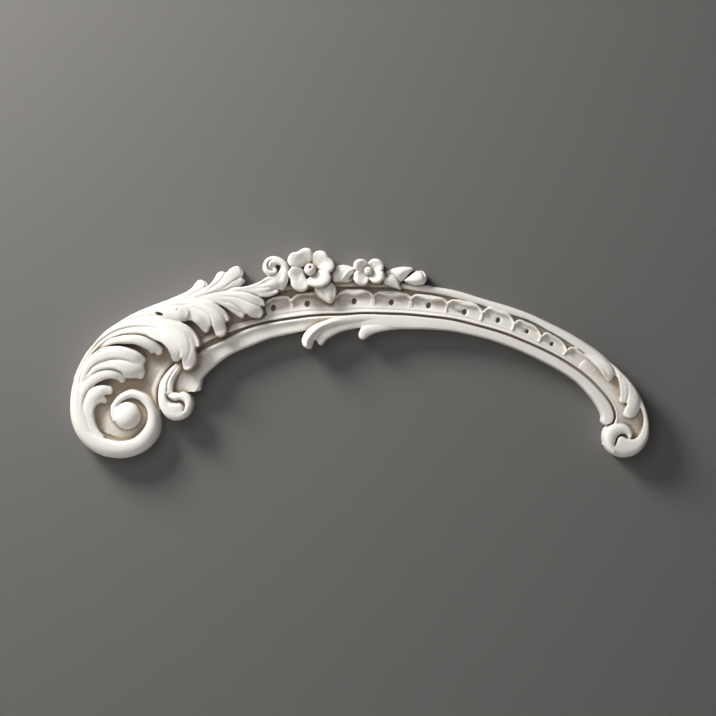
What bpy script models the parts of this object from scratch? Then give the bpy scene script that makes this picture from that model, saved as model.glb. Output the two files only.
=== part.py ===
"""A decorative wall applique: a long C scroll with leaves, shell work, flowers and volutes, cast in plaster.

X runs along the applique, Z is up, the flat back is on Y = 0 and the relief rises towards -Y.
The sheet that the tables use has its origin at the upper left, with y running down, and one unit is a
millimetre at the default length. Heights on the sheet are measured from the front of the backing.
"""

import math

import bmesh
import bpy
import numpy as np

LENGTH = 0.577  # along X, over the two volutes
RELIEF = 0.0415  # from the wall to the highest leaf
SHEET_LENGTH = 577.0
SHEET_RELIEF = 41.5
BACKING = 7.0  # plain thickness that the whole ornament stands on
CENTRE = (358.5, 306.0)  # the point of the sheet that the origin lies on
GRAIN = 1.0  # size of the cells that join the elements into one casting
CUT_SPARE = 4.0  # the elements reach this far behind the back before it is cut flat
CUT_FOOT = -BACKING - CUT_SPARE
GROUND_LEVEL = 10.0  # heights of the plain grounds and floors between the carved forms
BAND_LEVEL = 9.0
GROOVE_LEVEL = 7.5
SPUR_LEVEL = 10.6
START_LEVEL = 9.0
# Floors in the volutes and the curl: (x, y, radius) and level.
GREAT_FLOOR = ((115.0, 413.0, 38.0), 7.5)
SMALL_FLOOR = ((176.0, 404.0, 14.0), 8.0)
END_FLOOR = ((624.0, 436.0, 18.0), 8.0)
CURL_FLOOR = ((275.5, 267.5, 9.0), 13.0)
GUTTER = (121.0, 418.0, 29.0)  # the great volute's channel, which climbs towards the ball
GUTTER_LOW = 8.2
GUTTER_CLIMB = 5.6
GUTTER_REACH = 14.0
TRIANGLES = 9300
HOLE_SIDES = 10

SCALE = LENGTH / SHEET_LENGTH
RISE = RELIEF / SHEET_RELIEF

# Rows of (x, y) along edges, and of (x, y, half width, crest height) along strands.

LEFT_OUTLINE = [
    (70.1, 406.5), (71.6, 388.7), (75.2, 375.9), (80.3, 363.2), (86.4, 352.4), (94.1, 343.3),
    (100.7, 335.6), (107.7, 329.3), (117.9, 322.7), (130.6, 315.0), (145.9, 308.1), (161.2, 302.2),
    (170.2, 299.2), (180.4, 295.4), (196.0, 291.5),
]
LEFT_INNER = [
    (83.5, 406.0), (84.5, 394.0), (88.0, 384.0), (93.0, 374.0), (100.0, 364.0), (108.0, 355.0),
    (117.0, 348.5), (126.0, 344.0), (135.0, 341.0), (145.0, 339.0), (155.0, 338.0), (166.0, 336.0),
    (176.0, 331.0), (186.0, 323.0), (198.0, 312.0),
]
LEFT_GROUND = [
    (82.0, 398.0), (88.0, 376.0), (104.0, 352.0), (134.0, 332.0), (170.0, 318.0), (205.0, 302.0),
    (240.0, 291.0), (262.0, 292.0), (268.0, 300.0), (262.0, 312.0), (236.0, 325.0), (208.0, 338.0),
    (198.0, 356.0), (186.0, 372.0), (178.0, 388.0), (160.0, 404.0), (153.0, 412.0), (128.0, 436.0),
    (104.0, 432.0), (90.0, 418.0),
]

BIG_RIM_OUTER = [
    (100.7, 335.6), (94.1, 343.3), (86.4, 352.4), (80.3, 363.2), (75.2, 375.9), (71.6, 388.7),
    (70.1, 406.5), (70.8, 418.0), (74.6, 430.5), (84.1, 444.2), (103.3, 455.7), (116.0, 457.9),
    (132.0, 456.3), (147.9, 448.0), (159.0, 431.8), (159.7, 418.0), (155.6, 404.7), (149.8, 395.7),
    (140.3, 390.6), (132.0, 388.7), (124.3, 391.3), (117.3, 396.4), (112.2, 404.0), (110.9, 412.3),
    (113.0, 421.0),
]
BIG_RIM_INNER = [
    (103.4, 338.2), (97.4, 346.2), (90.4, 355.6), (84.6, 366.0), (80.6, 378.6), (80.6, 391.0),
    (83.6, 406.0), (85.0, 417.0), (90.0, 429.0), (97.5, 434.8), (108.0, 438.6), (118.0, 441.0),
    (127.0, 440.2), (136.0, 436.6), (146.0, 425.4), (148.5, 416.4), (146.8, 408.3), (141.5, 401.5),
    (136.5, 398.6), (132.0, 397.7), (126.6, 399.0), (121.2, 402.4), (117.4, 407.5), (116.0, 413.0),
    (118.0, 420.0),
]
BALL = (127.5, 415.2, 14.0)

STRANDS = {
    # leaves that spring from the rim, from the volute upwards
    "leaf_i_top": [
        (100.0, 438.0, 6.0, 17.0), (92.6, 430.0, 6.0, 17.4), (89.4, 419.0, 6.0, 17.6),
        (89.6, 406.0, 5.6, 18.6), (94.4, 395.4, 6.0, 20.4), (102.6, 389.6, 5.4, 20.6),
        (110.8, 389.8, 3.8, 18.0),
    ],
    "leaf_i_low": [
        (93.4, 412.0, 2.6, 17.4), (96.6, 403.8, 3.6, 18.0), (102.0, 400.4, 3.4, 17.6),
        (105.8, 401.0, 2.6, 16.0),
    ],
    "leaf_h": [
        (78.0, 410.0, 3.0, 15.0), (82.5, 396.0, 5.0, 18.0), (91.0, 382.5, 6.0, 20.5),
        (102.0, 375.5, 5.8, 22.0), (113.0, 373.8, 5.0, 22.0), (120.0, 375.8, 4.6, 20.5),
        (122.6, 379.4, 3.6, 18.0),
    ],
    "leaf_g_top": [
        (77.0, 394.0, 3.0, 15.0), (82.0, 377.0, 5.0, 18.5), (91.0, 362.5, 6.0, 22.0),
        (103.0, 354.5, 6.4, 24.5), (118.0, 352.0, 6.4, 25.5), (132.0, 355.2, 6.6, 25.0),
        (140.0, 359.5, 5.2, 22.5), (143.0, 361.5, 3.4, 21.0),
    ],
    "leaf_g_low": [
        (82.0, 388.0, 3.5, 16.0), (90.0, 376.0, 5.4, 20.0), (101.0, 367.5, 6.2, 23.0),
        (116.0, 364.6, 7.4, 25.0), (129.0, 367.6, 9.0, 24.5), (137.0, 370.5, 8.4, 22.5),
        (140.5, 372.5, 5.6, 20.0),
    ],
    "leaf_j": [
        (104.0, 348.0, 2.5, 18.0), (114.0, 341.5, 3.8, 22.0), (130.0, 339.2, 4.8, 26.0),
        (144.0, 341.5, 5.0, 27.0), (154.0, 346.8, 5.0, 25.5), (159.5, 351.2, 3.8, 23.0),
    ],
    "leaf_j_toe": [
        (136.0, 342.0, 2.4, 24.0), (146.0, 346.0, 3.0, 23.5), (152.3, 350.6, 2.6, 21.0),
    ],
    # flutes of the great leaf, from the outline inwards
    "flute_0": [
        (112.0, 326.0, 2.0, 11.0), (130.0, 316.6, 3.2, 15.5), (150.0, 308.5, 3.8, 20.5),
        (168.0, 303.0, 4.2, 25.0), (184.0, 299.5, 5.0, 27.0), (204.0, 297.0, 5.4, 27.5),
    ],
    "flute_1": [
        (92.0, 348.5, 2.4, 11.0), (106.0, 333.5, 3.6, 15.0), (124.0, 322.5, 4.0, 19.0),
        (142.0, 315.5, 4.6, 24.0), (156.0, 313.5, 5.2, 28.0), (170.0, 313.0, 6.8, 31.0),
        (180.0, 313.6, 7.6, 32.5), (186.5, 315.0, 5.4, 31.5),
    ],
    "flute_2": [
        (90.0, 356.0, 2.4, 13.0), (102.0, 340.5, 3.6, 16.5), (116.0, 329.0, 4.2, 20.5),
        (132.0, 323.4, 4.8, 25.0), (150.0, 322.0, 5.6, 29.0), (166.0, 325.0, 6.6, 31.5),
        (180.0, 329.5, 7.4, 33.0), (192.0, 336.5, 6.4, 31.0), (198.0, 342.8, 4.0, 27.5),
    ],
    "flute_3": [
        (92.0, 362.0, 2.4, 15.0), (101.0, 349.0, 3.6, 18.5), (112.0, 338.5, 4.0, 22.0),
        (126.0, 332.5, 4.2, 25.5), (142.0, 331.5, 5.0, 28.5), (158.0, 334.0, 6.4, 31.0),
        (172.0, 339.0, 8.4, 33.5), (183.0, 347.0, 9.6, 34.5), (188.6, 357.0, 7.4, 32.0),
        (189.2, 366.0, 4.6, 28.5),
    ],
    "leaf_a_toe": [
        (150.0, 336.4, 3.0, 27.5), (161.0, 340.0, 5.0, 29.5), (170.5, 347.0, 6.2, 30.0),
        (176.6, 355.5, 4.6, 27.5), (178.8, 359.8, 2.6, 25.0),
    ],
    # fingers of the leaf over the band
    "leaf_c_1": [
        (178.0, 303.0, 4.0, 27.0), (198.0, 301.5, 5.2, 28.5), (212.0, 304.0, 6.0, 28.5),
        (221.5, 310.0, 6.0, 27.0), (227.0, 317.6, 3.6, 24.0),
    ],
    "leaf_c_2": [
        (180.0, 306.0, 4.4, 28.0), (198.0, 307.5, 6.0, 29.5), (211.0, 313.0, 6.8, 29.5),
        (219.5, 322.0, 6.4, 28.0), (221.2, 331.5, 4.8, 25.0), (220.2, 334.6, 3.0, 23.0),
    ],
    "leaf_c_3": [
        (180.0, 309.0, 4.4, 29.0), (192.0, 312.0, 6.0, 29.5), (201.0, 318.5, 6.4, 28.5),
        (206.0, 326.0, 4.6, 26.0), (206.6, 330.0, 3.0, 24.0),
    ],
    "leaf_d_1": [
        (204.0, 298.5, 4.4, 27.5), (224.0, 296.0, 5.0, 27.5), (242.0, 296.0, 5.4, 26.5),
        (255.0, 300.0, 5.4, 25.0), (261.6, 303.4, 3.4, 22.5),
    ],
    "leaf_d_2": [
        (206.0, 299.5, 4.4, 28.0), (226.0, 299.5, 5.4, 27.5), (243.0, 303.0, 6.0, 26.5),
        (255.0, 308.6, 5.8, 25.0), (259.6, 313.8, 3.8, 22.5),
    ],
    "leaf_d_3": [
        (208.0, 300.5, 3.6, 27.5), (224.0, 303.0, 4.6, 27.0), (236.0, 309.2, 4.8, 25.0),
        (241.4, 315.0, 3.4, 22.5),
    ],
    "leaf_long": [
        (196.0, 297.5, 4.4, 27.0), (220.0, 293.0, 5.0, 26.5), (242.0, 291.2, 5.0, 25.0),
        (257.0, 291.0, 5.6, 24.0), (269.0, 289.5, 6.4, 23.0), (275.0, 290.4, 3.4, 21.0),
    ],
    "leaf_long_stem": [
        (244.0, 291.0, 3.8, 24.0), (258.0, 287.6, 4.4, 24.0), (270.0, 282.5, 5.4, 24.0),
        (279.0, 277.0, 5.2, 24.5), (285.0, 270.5, 3.8, 25.0),
    ],
    # the spray over the outline
    "spray_1": [
        (176.0, 301.0, 3.0, 24.0), (188.0, 294.6, 4.0, 25.0), (196.6, 288.4, 4.6, 24.5),
        (201.6, 284.6, 4.4, 23.0),
    ],
    "spray_2": [
        (192.0, 297.0, 3.6, 26.0), (205.0, 291.0, 4.8, 26.5), (214.0, 284.0, 5.2, 25.5),
        (220.6, 277.0, 4.8, 24.0), (222.4, 274.8, 3.4, 23.0),
    ],
    "spray_3": [
        (198.0, 297.0, 4.0, 27.0), (214.0, 290.0, 5.4, 27.0), (226.0, 281.5, 6.0, 26.0),
        (234.4, 273.6, 5.4, 24.5), (237.8, 270.6, 3.8, 23.0),
    ],
    "spray_4": [
        (206.0, 296.0, 4.0, 27.0), (222.0, 289.0, 4.8, 26.5), (233.0, 283.4, 4.6, 25.0),
        (239.6, 280.2, 3.6, 23.0),
    ],
    # the small volute beside the great one
    "small_stem": [
        (186.0, 357.0, 2.4, 13.0), (178.0, 366.5, 4.2, 15.0), (170.6, 375.0, 5.6, 16.5),
        (166.0, 385.0, 7.0, 18.0), (163.6, 396.0, 6.4, 18.5), (166.2, 406.0, 6.2, 18.5),
        (172.6, 413.0, 6.4, 18.5), (180.6, 413.4, 6.0, 18.5), (186.8, 407.0, 5.0, 18.5),
        (188.6, 399.6, 3.8, 18.0), (184.6, 395.2, 3.6, 17.5), (178.4, 394.2, 3.4, 17.0),
        (172.6, 395.0, 3.0, 16.5),
    ],
    "small_toe": [
        (172.0, 377.0, 3.6, 16.5), (169.6, 386.0, 4.2, 17.5), (171.6, 393.6, 3.2, 16.5),
    ],
    "small_core": [
        (171.5, 409.0, 4.0, 17.0), (177.5, 407.6, 4.2, 17.5), (181.6, 407.6, 3.0, 17.0),
    ],
    "inner_fillet": [
        (170.0, 361.6, 2.0, 9.5), (163.2, 370.0, 2.6, 11.0), (157.6, 380.0, 2.8, 12.0),
        (154.6, 389.0, 2.8, 12.0), (155.4, 400.0, 2.4, 11.5), (158.6, 410.0, 1.8, 11.0),
    ],
    # tendrils under the arch
    "tendril_1": [
        (366.0, 320.0, 3.4, 12.0), (350.0, 322.0, 5.6, 13.5), (334.0, 326.6, 7.0, 15.0),
        (321.0, 333.4, 7.6, 16.0), (312.0, 338.6, 7.0, 16.5), (307.4, 344.0, 5.0, 15.5),
    ],
    "tendril_1_toe": [
        (340.0, 325.6, 4.0, 12.0), (328.0, 333.0, 5.4, 13.0), (321.0, 340.6, 3.8, 13.0),
    ],
    "tendril_2": [
        (396.0, 324.6, 2.6, 11.0), (382.0, 326.8, 3.6, 12.5), (370.0, 329.6, 4.6, 13.5),
        (363.6, 333.2, 4.6, 14.0), (361.8, 336.2, 3.4, 13.5),
    ],
    # leaves and volute at the right-hand end
    "leaf_r_1": [
        (586.0, 354.0, 4.0, 15.0), (596.0, 359.4, 5.0, 17.0), (604.0, 366.0, 5.2, 19.0),
        (608.6, 373.4, 4.2, 18.6), (608.0, 379.0, 2.8, 16.0),
    ],
    "leaf_r_1_edge": [
        (590.0, 360.4, 2.4, 15.0), (597.6, 366.4, 2.8, 16.0), (603.0, 373.6, 2.6, 16.0),
        (606.4, 379.6, 2.0, 15.0),
    ],
    "leaf_r_2": [
        (607.0, 363.0, 3.4, 15.0), (615.0, 372.0, 4.4, 17.5), (620.4, 382.0, 5.0, 19.0),
        (622.4, 392.0, 4.8, 18.5), (620.4, 400.0, 3.0, 16.0),
    ],
    "leaf_r_3": [
        (611.0, 365.6, 3.4, 15.5), (621.0, 376.0, 4.6, 18.0), (628.0, 386.0, 5.2, 19.5),
        (631.0, 396.0, 5.4, 19.5), (629.6, 407.0, 5.4, 19.0), (627.0, 413.6, 4.2, 16.5),
    ],
    "flower_1_stem": [
        (290.0, 287.0, 4.0, 15.0), (310.0, 284.0, 5.0, 15.0), (334.0, 283.0, 4.4, 15.0),
    ],
}

RIM_OUTER = [
    (270.0, 287.6), (281.0, 285.2), (292.0, 283.4), (315.0, 281.6), (338.0, 281.0), (366.0, 281.0),
    (398.8, 282.6), (417.9, 284.5), (437.8, 287.3), (450.5, 289.6), (463.3, 292.8), (476.0, 296.9),
    (488.8, 300.7), (510.0, 307.0), (529.1, 312.8), (548.3, 321.7), (567.4, 331.9), (586.5, 344.0),
    (599.3, 352.9), (609.1, 361.8), (619.8, 371.8), (629.0, 380.6), (635.9, 390.9), (642.0, 403.2),
    (645.8, 415.4), (647.2, 427.7), (646.2, 438.4), (641.2, 447.5), (633.6, 454.4), (624.4, 457.1),
    (615.0, 456.2), (609.0, 452.8), (606.4, 450.0),
]
RIM_INNER = [
    (270.0, 294.0), (281.0, 291.6), (292.0, 289.6), (315.0, 287.8), (338.0, 287.2), (366.0, 287.2),
    (398.8, 288.5), (417.9, 291.1), (436.0, 293.8), (448.5, 296.4), (461.3, 299.8), (474.0, 303.3),
    (486.4, 307.2), (507.0, 314.0), (525.9, 319.6), (544.6, 329.4), (563.0, 339.8), (581.6, 352.0),
    (594.0, 360.4), (603.6, 367.4), (613.6, 375.6), (622.4, 384.6), (629.4, 393.6), (636.4, 404.0),
    (640.6, 413.0), (641.6, 422.0), (639.6, 430.6), (635.6, 436.4), (630.6, 438.9), (624.6, 438.2),
    (618.8, 436.2), (615.4, 440.0), (614.2, 447.0),
]
END_COIL_OUTER = [
    (609.6, 453.4), (605.4, 449.0), (602.6, 442.4), (601.8, 436.1), (603.7, 428.8), (608.4, 424.4),
    (615.5, 422.4), (623.0, 423.5), (628.3, 427.2), (630.5, 431.6), (629.9, 435.6),
]
END_COIL_INNER = [
    (614.6, 451.0), (613.4, 447.6), (612.8, 443.0), (613.6, 438.8), (615.8, 435.2), (619.0, 433.4),
    (622.0, 433.2), (624.0, 434.2), (625.4, 435.6), (626.0, 437.0), (627.4, 438.2),
]
CURL_OUTER = [
    (288.4, 282.0), (289.0, 275.0), (288.4, 269.0), (286.5, 263.8), (281.4, 259.0), (274.3, 256.7),
    (266.6, 259.0), (262.8, 265.6), (263.2, 271.6), (267.2, 275.6), (271.4, 276.6), (275.4, 275.2),
    (277.2, 272.0),
]
CURL_INNER = [
    (279.6, 279.0), (282.0, 274.4), (282.2, 270.4), (281.2, 267.4), (278.6, 265.8), (275.6, 265.6),
    (273.0, 266.2), (271.8, 267.4), (271.8, 268.6), (272.6, 269.4), (273.6, 269.6), (274.6, 269.4),
    (275.4, 269.2),
]
GROOVE = [
    (190.0, 350.0), (202.3, 345.0), (221.2, 336.5), (240.0, 330.0), (252.8, 325.8), (265.5, 322.6),
    (278.3, 320.4), (291.0, 318.5), (307.0, 316.3), (322.9, 315.0), (340.0, 314.6), (365.0, 313.4),
    (386.0, 313.8), (405.0, 314.5), (425.0, 316.4), (450.5, 319.5), (476.0, 325.6), (501.5, 332.9),
    (529.1, 344.0), (548.3, 352.9), (567.4, 363.8), (586.5, 377.8), (599.3, 390.6), (606.0, 398.6),
    (610.6, 406.2), (612.9, 413.9), (612.4, 421.5), (608.0, 427.0),
]
FILLET = [
    (188.0, 344.0), (200.8, 337.5), (218.0, 330.4), (238.0, 323.0), (251.6, 320.0), (264.6, 315.8),
    (277.6, 313.8), (290.6, 311.8), (306.8, 309.9), (322.9, 309.2), (340.0, 308.5), (366.0, 308.1),
    (387.0, 308.6), (406.6, 309.6), (427.0, 311.6), (453.0, 314.8), (479.2, 320.8), (504.6, 328.6),
    (532.6, 340.0), (552.6, 349.6), (572.0, 361.0), (591.6, 374.6), (605.0, 386.6), (612.6, 395.0),
    (617.0, 403.0), (619.0, 412.0), (619.0, 420.0), (614.0, 426.0),
]
LOWER_TOP = [
    (175.6, 392.0), (176.0, 384.0), (179.6, 373.4), (185.6, 363.0), (194.6, 354.2), (207.6, 347.6),
    (221.6, 341.2), (240.5, 331.8), (253.2, 327.0), (265.8, 323.9), (278.5, 321.6), (291.2, 319.7),
    (307.1, 317.5), (322.9, 316.2), (340.0, 315.8), (365.0, 314.6), (386.0, 315.0), (405.0, 315.7),
    (425.0, 317.6), (450.3, 320.7), (475.7, 326.8), (501.1, 334.1), (528.6, 345.1), (547.8, 354.0),
    (566.8, 364.9), (585.7, 378.8), (598.4, 391.4), (605.1, 399.3), (609.5, 406.6), (611.7, 413.9),
    (611.4, 419.5), (609.5, 422.8),
]
LOWER_EDGE = [
    (196.0, 391.6), (199.9, 386.0), (201.5, 379.0), (206.2, 373.0), (212.8, 366.9), (221.0, 360.2),
    (230.0, 354.3), (243.0, 348.4), (254.0, 344.0), (267.0, 338.8), (280.0, 335.6), (293.0, 332.8),
    (309.0, 329.4), (325.0, 327.6), (342.0, 327.2), (366.0, 327.4), (386.0, 328.4), (405.0, 328.9),
    (425.0, 329.1), (449.0, 330.9), (472.6, 335.4), (497.0, 342.2), (522.6, 352.2), (540.6, 360.8),
    (558.6, 370.6), (576.0, 382.4), (586.6, 393.4), (592.2, 400.1), (597.6, 408.5), (600.9, 416.4),
    (600.6, 421.6), (603.0, 424.8),
]
SPUR = [
    (180.0, 392.0), (181.0, 384.0), (186.0, 378.0), (196.0, 378.0), (200.6, 381.0), (199.9, 385.5),
    (199.6, 389.9), (196.1, 391.0), (192.3, 389.7), (188.5, 388.3), (186.0, 392.0),
]

END_GROUND_LEFT = [
    (580.0, 371.6), (588.0, 377.6), (600.8, 389.4), (607.6, 397.2), (612.4, 404.6), (614.6, 412.0),
    (614.4, 418.0), (612.0, 424.0),
]
END_GROUND_RIGHT = [
    (584.0, 357.0), (594.0, 361.0), (612.0, 374.0), (626.0, 390.0), (637.0, 406.0), (641.5, 418.0),
    (640.0, 430.0), (630.0, 434.0),
]
BAND_START = [
    (255.0, 296.0), (268.0, 287.0), (280.0, 278.0), (300.0, 279.0), (300.0, 310.0), (270.0, 318.0),
    (255.0, 316.0),
]

# Faces across the bands: (share across, height).
MASS_FACE = [(0.0, 6.0), (0.06, 9.0), (0.25, 14.0), (0.6, 19.0), (0.9, 20.0), (1.0, 18.0)]
FILLET_FACE = [(0.0, 12.2), (0.3, 12.6), (0.62, 13.6), (0.84, 14.4), (0.94, 14.2), (1.0, 12.6)]
LOWER_FACE = [(0.0, 13.4), (0.08, 14.8), (0.3, 14.0), (0.6, 13.4), (0.9, 12.6), (1.0, 10.2)]
END_GROUND_FACE = [(0.0, 14.0), (0.5, 13.0), (1.0, 11.5)]
# Changes of height along the bands: (share along, change).
RIM_LIFT = [(0.0, -6.0), (0.1, -4.5), (0.2, -2.0), (0.36, 0.0), (1.0, 1.0)]
END_LIFT = [(0.0, -0.5), (0.6, 0.0), (0.8, 2.0), (0.92, 4.0), (1.0, 3.5)]
ROOT_LIFT = [(0.0, -2.5), (0.04, -2.5), (0.14, 0.0), (1.0, 0.0)]

# The shell work: cusp, two points along the top, cusp, and the drilled hole of each shell.
SHELLS = [
    ((266.5, 301.0), (278.3, 296.2), (285.6, 296.0), (290.7, 299.7), (273.0, 308.0, 2.4)),
    ((290.7, 299.7), (300.6, 292.8), (322.0, 291.0), (334.6, 296.5), (306.8, 303.8, 2.3)),
    ((334.6, 296.5), (344.6, 289.8), (363.7, 289.8), (372.6, 294.6), (353.5, 301.4, 2.3)),
    ((372.6, 294.6), (380.9, 291.2), (400.0, 292.0), (410.3, 297.2), (390.6, 302.4, 2.2)),
    ((410.3, 297.2), (417.9, 294.3), (436.0, 296.4), (447.0, 302.0), (427.7, 305.6, 2.2)),
    ((447.0, 302.0), (454.6, 300.0), (472.0, 303.8), (483.4, 309.4), (463.4, 312.1, 2.2)),
    ((483.4, 309.4), (490.8, 308.2), (505.4, 313.8), (515.7, 320.4), (496.9, 320.2, 2.0)),
    ((515.7, 320.4), (521.0, 320.7), (533.5, 326.8), (542.5, 333.6), (525.8, 331.4, 1.6)),
    ((542.5, 333.6), (547.0, 333.9), (559.6, 340.8), (566.8, 348.4), (550.6, 344.0, 1.5)),
    ((566.8, 348.4), (571.6, 348.4), (581.0, 354.4), (586.5, 362.6), None),
]

# Flowers: centre, button radius, button crest and the petals' outlines.
FLOWERS = [
    (
        (309.8, 270.2), 5.8, 30.5, 26.0,
        [
            [(308.0, 267.0), (300.0, 268.6), (292.0, 267.4), (287.6, 262.6), (288.0, 257.4),
             (291.6, 254.2), (296.6, 254.4), (299.6, 250.4), (304.9, 249.0), (310.4, 251.4),
             (312.4, 257.0), (311.6, 263.0)],
            [(312.0, 268.0), (312.6, 260.0), (315.0, 254.0), (320.4, 251.7), (326.0, 253.6),
             (328.0, 258.0), (332.6, 260.4), (334.2, 264.6), (332.0, 270.0), (326.0, 272.4),
             (319.0, 271.6)],
            [(312.0, 273.0), (319.0, 271.0), (326.0, 273.0), (330.2, 278.6), (328.6, 285.0),
             (322.6, 288.2), (316.4, 287.0), (311.4, 284.6), (308.6, 279.6)],
            [(307.0, 273.4), (308.6, 280.0), (307.6, 287.6), (302.6, 291.8), (295.6, 291.0),
             (291.6, 286.4), (291.4, 281.6), (288.3, 277.0), (290.0, 270.4), (296.6, 267.8),
             (303.0, 269.0)],
        ],
    ),
    (
        (367.4, 271.6), 4.3, 28.5, 24.5,
        [
            [(366.4, 270.0), (359.0, 272.0), (353.6, 269.0), (353.0, 263.6), (357.0, 260.2),
             (363.0, 260.4), (367.2, 264.0)],
            [(368.4, 270.0), (368.0, 263.6), (372.0, 260.0), (378.4, 260.4), (382.6, 264.6),
             (381.6, 270.6), (375.6, 272.6)],
            [(369.0, 272.6), (376.0, 271.6), (382.4, 273.0), (383.4, 278.6), (379.4, 282.8),
             (373.0, 283.0), (368.6, 278.6)],
            [(366.0, 273.0), (367.6, 279.4), (364.6, 285.0), (358.0, 285.4), (353.4, 281.0),
             (353.0, 275.4), (358.4, 271.4)],
        ],
    ),
]

# Leaflets round the flowers: outline, crest and edge.
LEAFLETS = {
    "leaflet_0": ([(313.6, 287.6), (322.0, 285.0), (330.8, 282.6), (335.9, 290.6), (334.4, 298.0),
                   (330.2, 303.3), (323.0, 300.4), (317.0, 295.8)], 23.0, 18.5),
    "leaflet_1": ([(330.6, 274.0), (335.5, 267.0), (341.1, 265.3), (349.6, 266.7), (355.9, 271.9),
                   (354.5, 278.0), (348.0, 282.6), (340.4, 282.6), (333.0, 282.4)], 23.0, 18.0),
    "leaflet_2": ([(384.0, 273.6), (391.0, 269.4), (398.7, 267.4), (406.0, 267.2), (412.0, 268.8),
                   (407.8, 274.4), (400.8, 281.8), (392.0, 284.6), (385.0, 281.6)], 21.5, 17.0),
    "leaflet_3": ([(383.2, 276.0), (386.7, 273.6), (392.3, 275.4), (398.0, 281.0), (399.4, 289.0),
                   (391.0, 289.0), (383.2, 284.6)], 22.5, 18.0),
    "bud": ([(402.9, 281.1), (409.0, 275.6), (416.2, 271.2), (423.2, 272.2), (426.0, 277.6),
             (423.2, 283.8), (416.0, 285.6), (408.0, 284.2)], 22.0, 16.0),
}

PLASTER_COLOUR = (0.86, 0.84, 0.8, 1.0)
STEP = 2.4  # spacing of the sections along an element


def place(points):
    """Sheet points (x, y, height) as world points."""
    points = np.asarray(points, float)
    world = np.empty((len(points), 3))
    world[:, 0] = (points[:, 0] - CENTRE[0]) * SCALE
    world[:, 1] = -(points[:, 2] + BACKING) * RISE
    world[:, 2] = (CENTRE[1] - points[:, 1]) * SCALE
    return world


def along(rows, step=STEP, closed=False):
    """Rows a step apart on a smooth curve through the given rows."""
    rows = np.array(rows, float)
    if closed:
        rows = np.vstack([rows[-2:], rows, rows[:3]])
    chord = np.hypot(*np.diff(rows[:, :2], axis=0).T)
    knot = np.concatenate([[0.0], np.cumsum(chord)])
    slope = np.gradient(rows, knot, axis=0)
    first, last = (knot[2], knot[-3]) if closed else (0.0, knot[-1])
    count = max(4, int(math.ceil((last - first) / step)) + 1)
    run = np.linspace(first, last, count, endpoint=not closed)
    at = np.clip(np.searchsorted(knot, run, side="right") - 1, 0, len(knot) - 2)
    span = (knot[at + 1] - knot[at])[:, None]
    t = (run - knot[at])[:, None] / span
    return (
        (1 + 2 * t) * (1 - t) ** 2 * rows[at]
        + t * (1 - t) ** 2 * span * slope[at]
        + t * t * (3 - 2 * t) * rows[at + 1]
        + t * t * (t - 1) * span * slope[at + 1]
    )


def add_solid(name, points, faces, collection):
    """A closed mesh from sheet points, facing outwards."""
    mesh = bpy.data.meshes.new(name)
    mesh.from_pydata(place(points).tolist(), [], faces)
    shape = bmesh.new()
    shape.from_mesh(mesh)
    bmesh.ops.remove_doubles(shape, verts=shape.verts, dist=1e-6)
    bmesh.ops.recalc_face_normals(shape, faces=shape.faces)
    shape.to_mesh(mesh)
    shape.free()
    made = bpy.data.objects.new(name, mesh)
    collection.objects.link(made)
    return made


def loft(name, top, collection):
    """A solid under a grid of points (x, y, height), with walls down to the foot."""
    n, m, _ = top.shape
    flat = top.reshape(-1, 3)
    rim = (
        [i * m for i in range(n)]
        + [(n - 1) * m + j for j in range(1, m)]
        + [i * m + m - 1 for i in range(n - 2, -1, -1)]
        + list(range(m - 2, 0, -1))
    )
    foot = flat[rim].copy()
    foot[:, 2] = CUT_FOOT
    base, count = len(flat), len(rim)
    faces = [
        (i * m + j, i * m + j + 1, (i + 1) * m + j + 1, (i + 1) * m + j)
        for i in range(n - 1)
        for j in range(m - 1)
    ]
    faces += [
        (rim[k], rim[(k + 1) % count], base + (k + 1) % count, base + k) for k in range(count)
    ]
    faces += [
        (base + k, base + k + 1, base + count - 2 - k, base + count - 1 - k)
        for k in range(count // 2 - 1)
    ]
    return add_solid(name, np.vstack([flat, foot]), faces, collection)


def strand(name, rows, collection, dome=0.75, across=9):
    """A rounded finger along rows of (x, y, half width, crest height), with rounded ends."""
    rows = along(rows)
    middle, half, crest = rows[:, :2], np.maximum(rows[:, 2], 0.4), rows[:, 3]
    way = np.gradient(middle, axis=0)
    way /= np.hypot(*way.T)[:, None]
    side = np.stack([-way[:, 1], way[:, 0]], axis=1)
    run = np.concatenate([[0.0], np.cumsum(np.hypot(*np.diff(middle, axis=0).T))])
    narrow = np.ones(len(rows))
    for distance, reach in ((run, half[0]), (run[-1] - run, half[-1])):
        near = np.clip(1 - distance / reach, 0, 1)
        narrow *= np.sqrt(np.maximum(1 - near**2, 0.04))
    v = np.sin(np.linspace(-math.pi / 2, math.pi / 2, across))
    hump = np.sqrt(np.maximum(1 - v**2, 0))
    top = np.empty((len(rows), across, 3))
    top[:, :, :2] = middle[:, None, :] + side[:, None, :] * ((half * narrow)[:, None] * v)[:, :, None]
    rise = (half * dome)[:, None]
    top[:, :, 2] = crest[:, None] - rise + rise * hump * narrow[:, None] - rise * (1 - narrow[:, None])
    return loft(name, top, collection)


def ribbon(name, rail_a, rail_b, heights, collection, lift=((0.0, 0.0), (1.0, 0.0))):
    """A band between two rails; heights are pairs (share across, height), lift (share along, change)."""
    rows = along(np.hstack([np.array(rail_a, float), np.array(rail_b, float)]))
    shares = np.array([pair[0] for pair in heights])
    top = np.empty((len(rows), len(shares), 3))
    top[:, :, :2] = (
        rows[:, None, :2] * (1 - shares)[None, :, None] + rows[:, None, 2:4] * shares[None, :, None]
    )
    change = np.interp(np.linspace(0, 1, len(rows)), *zip(*lift))
    top[:, :, 2] = np.array([pair[1] for pair in heights])[None, :] + change[:, None]
    return loft(name, top, collection)


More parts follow.
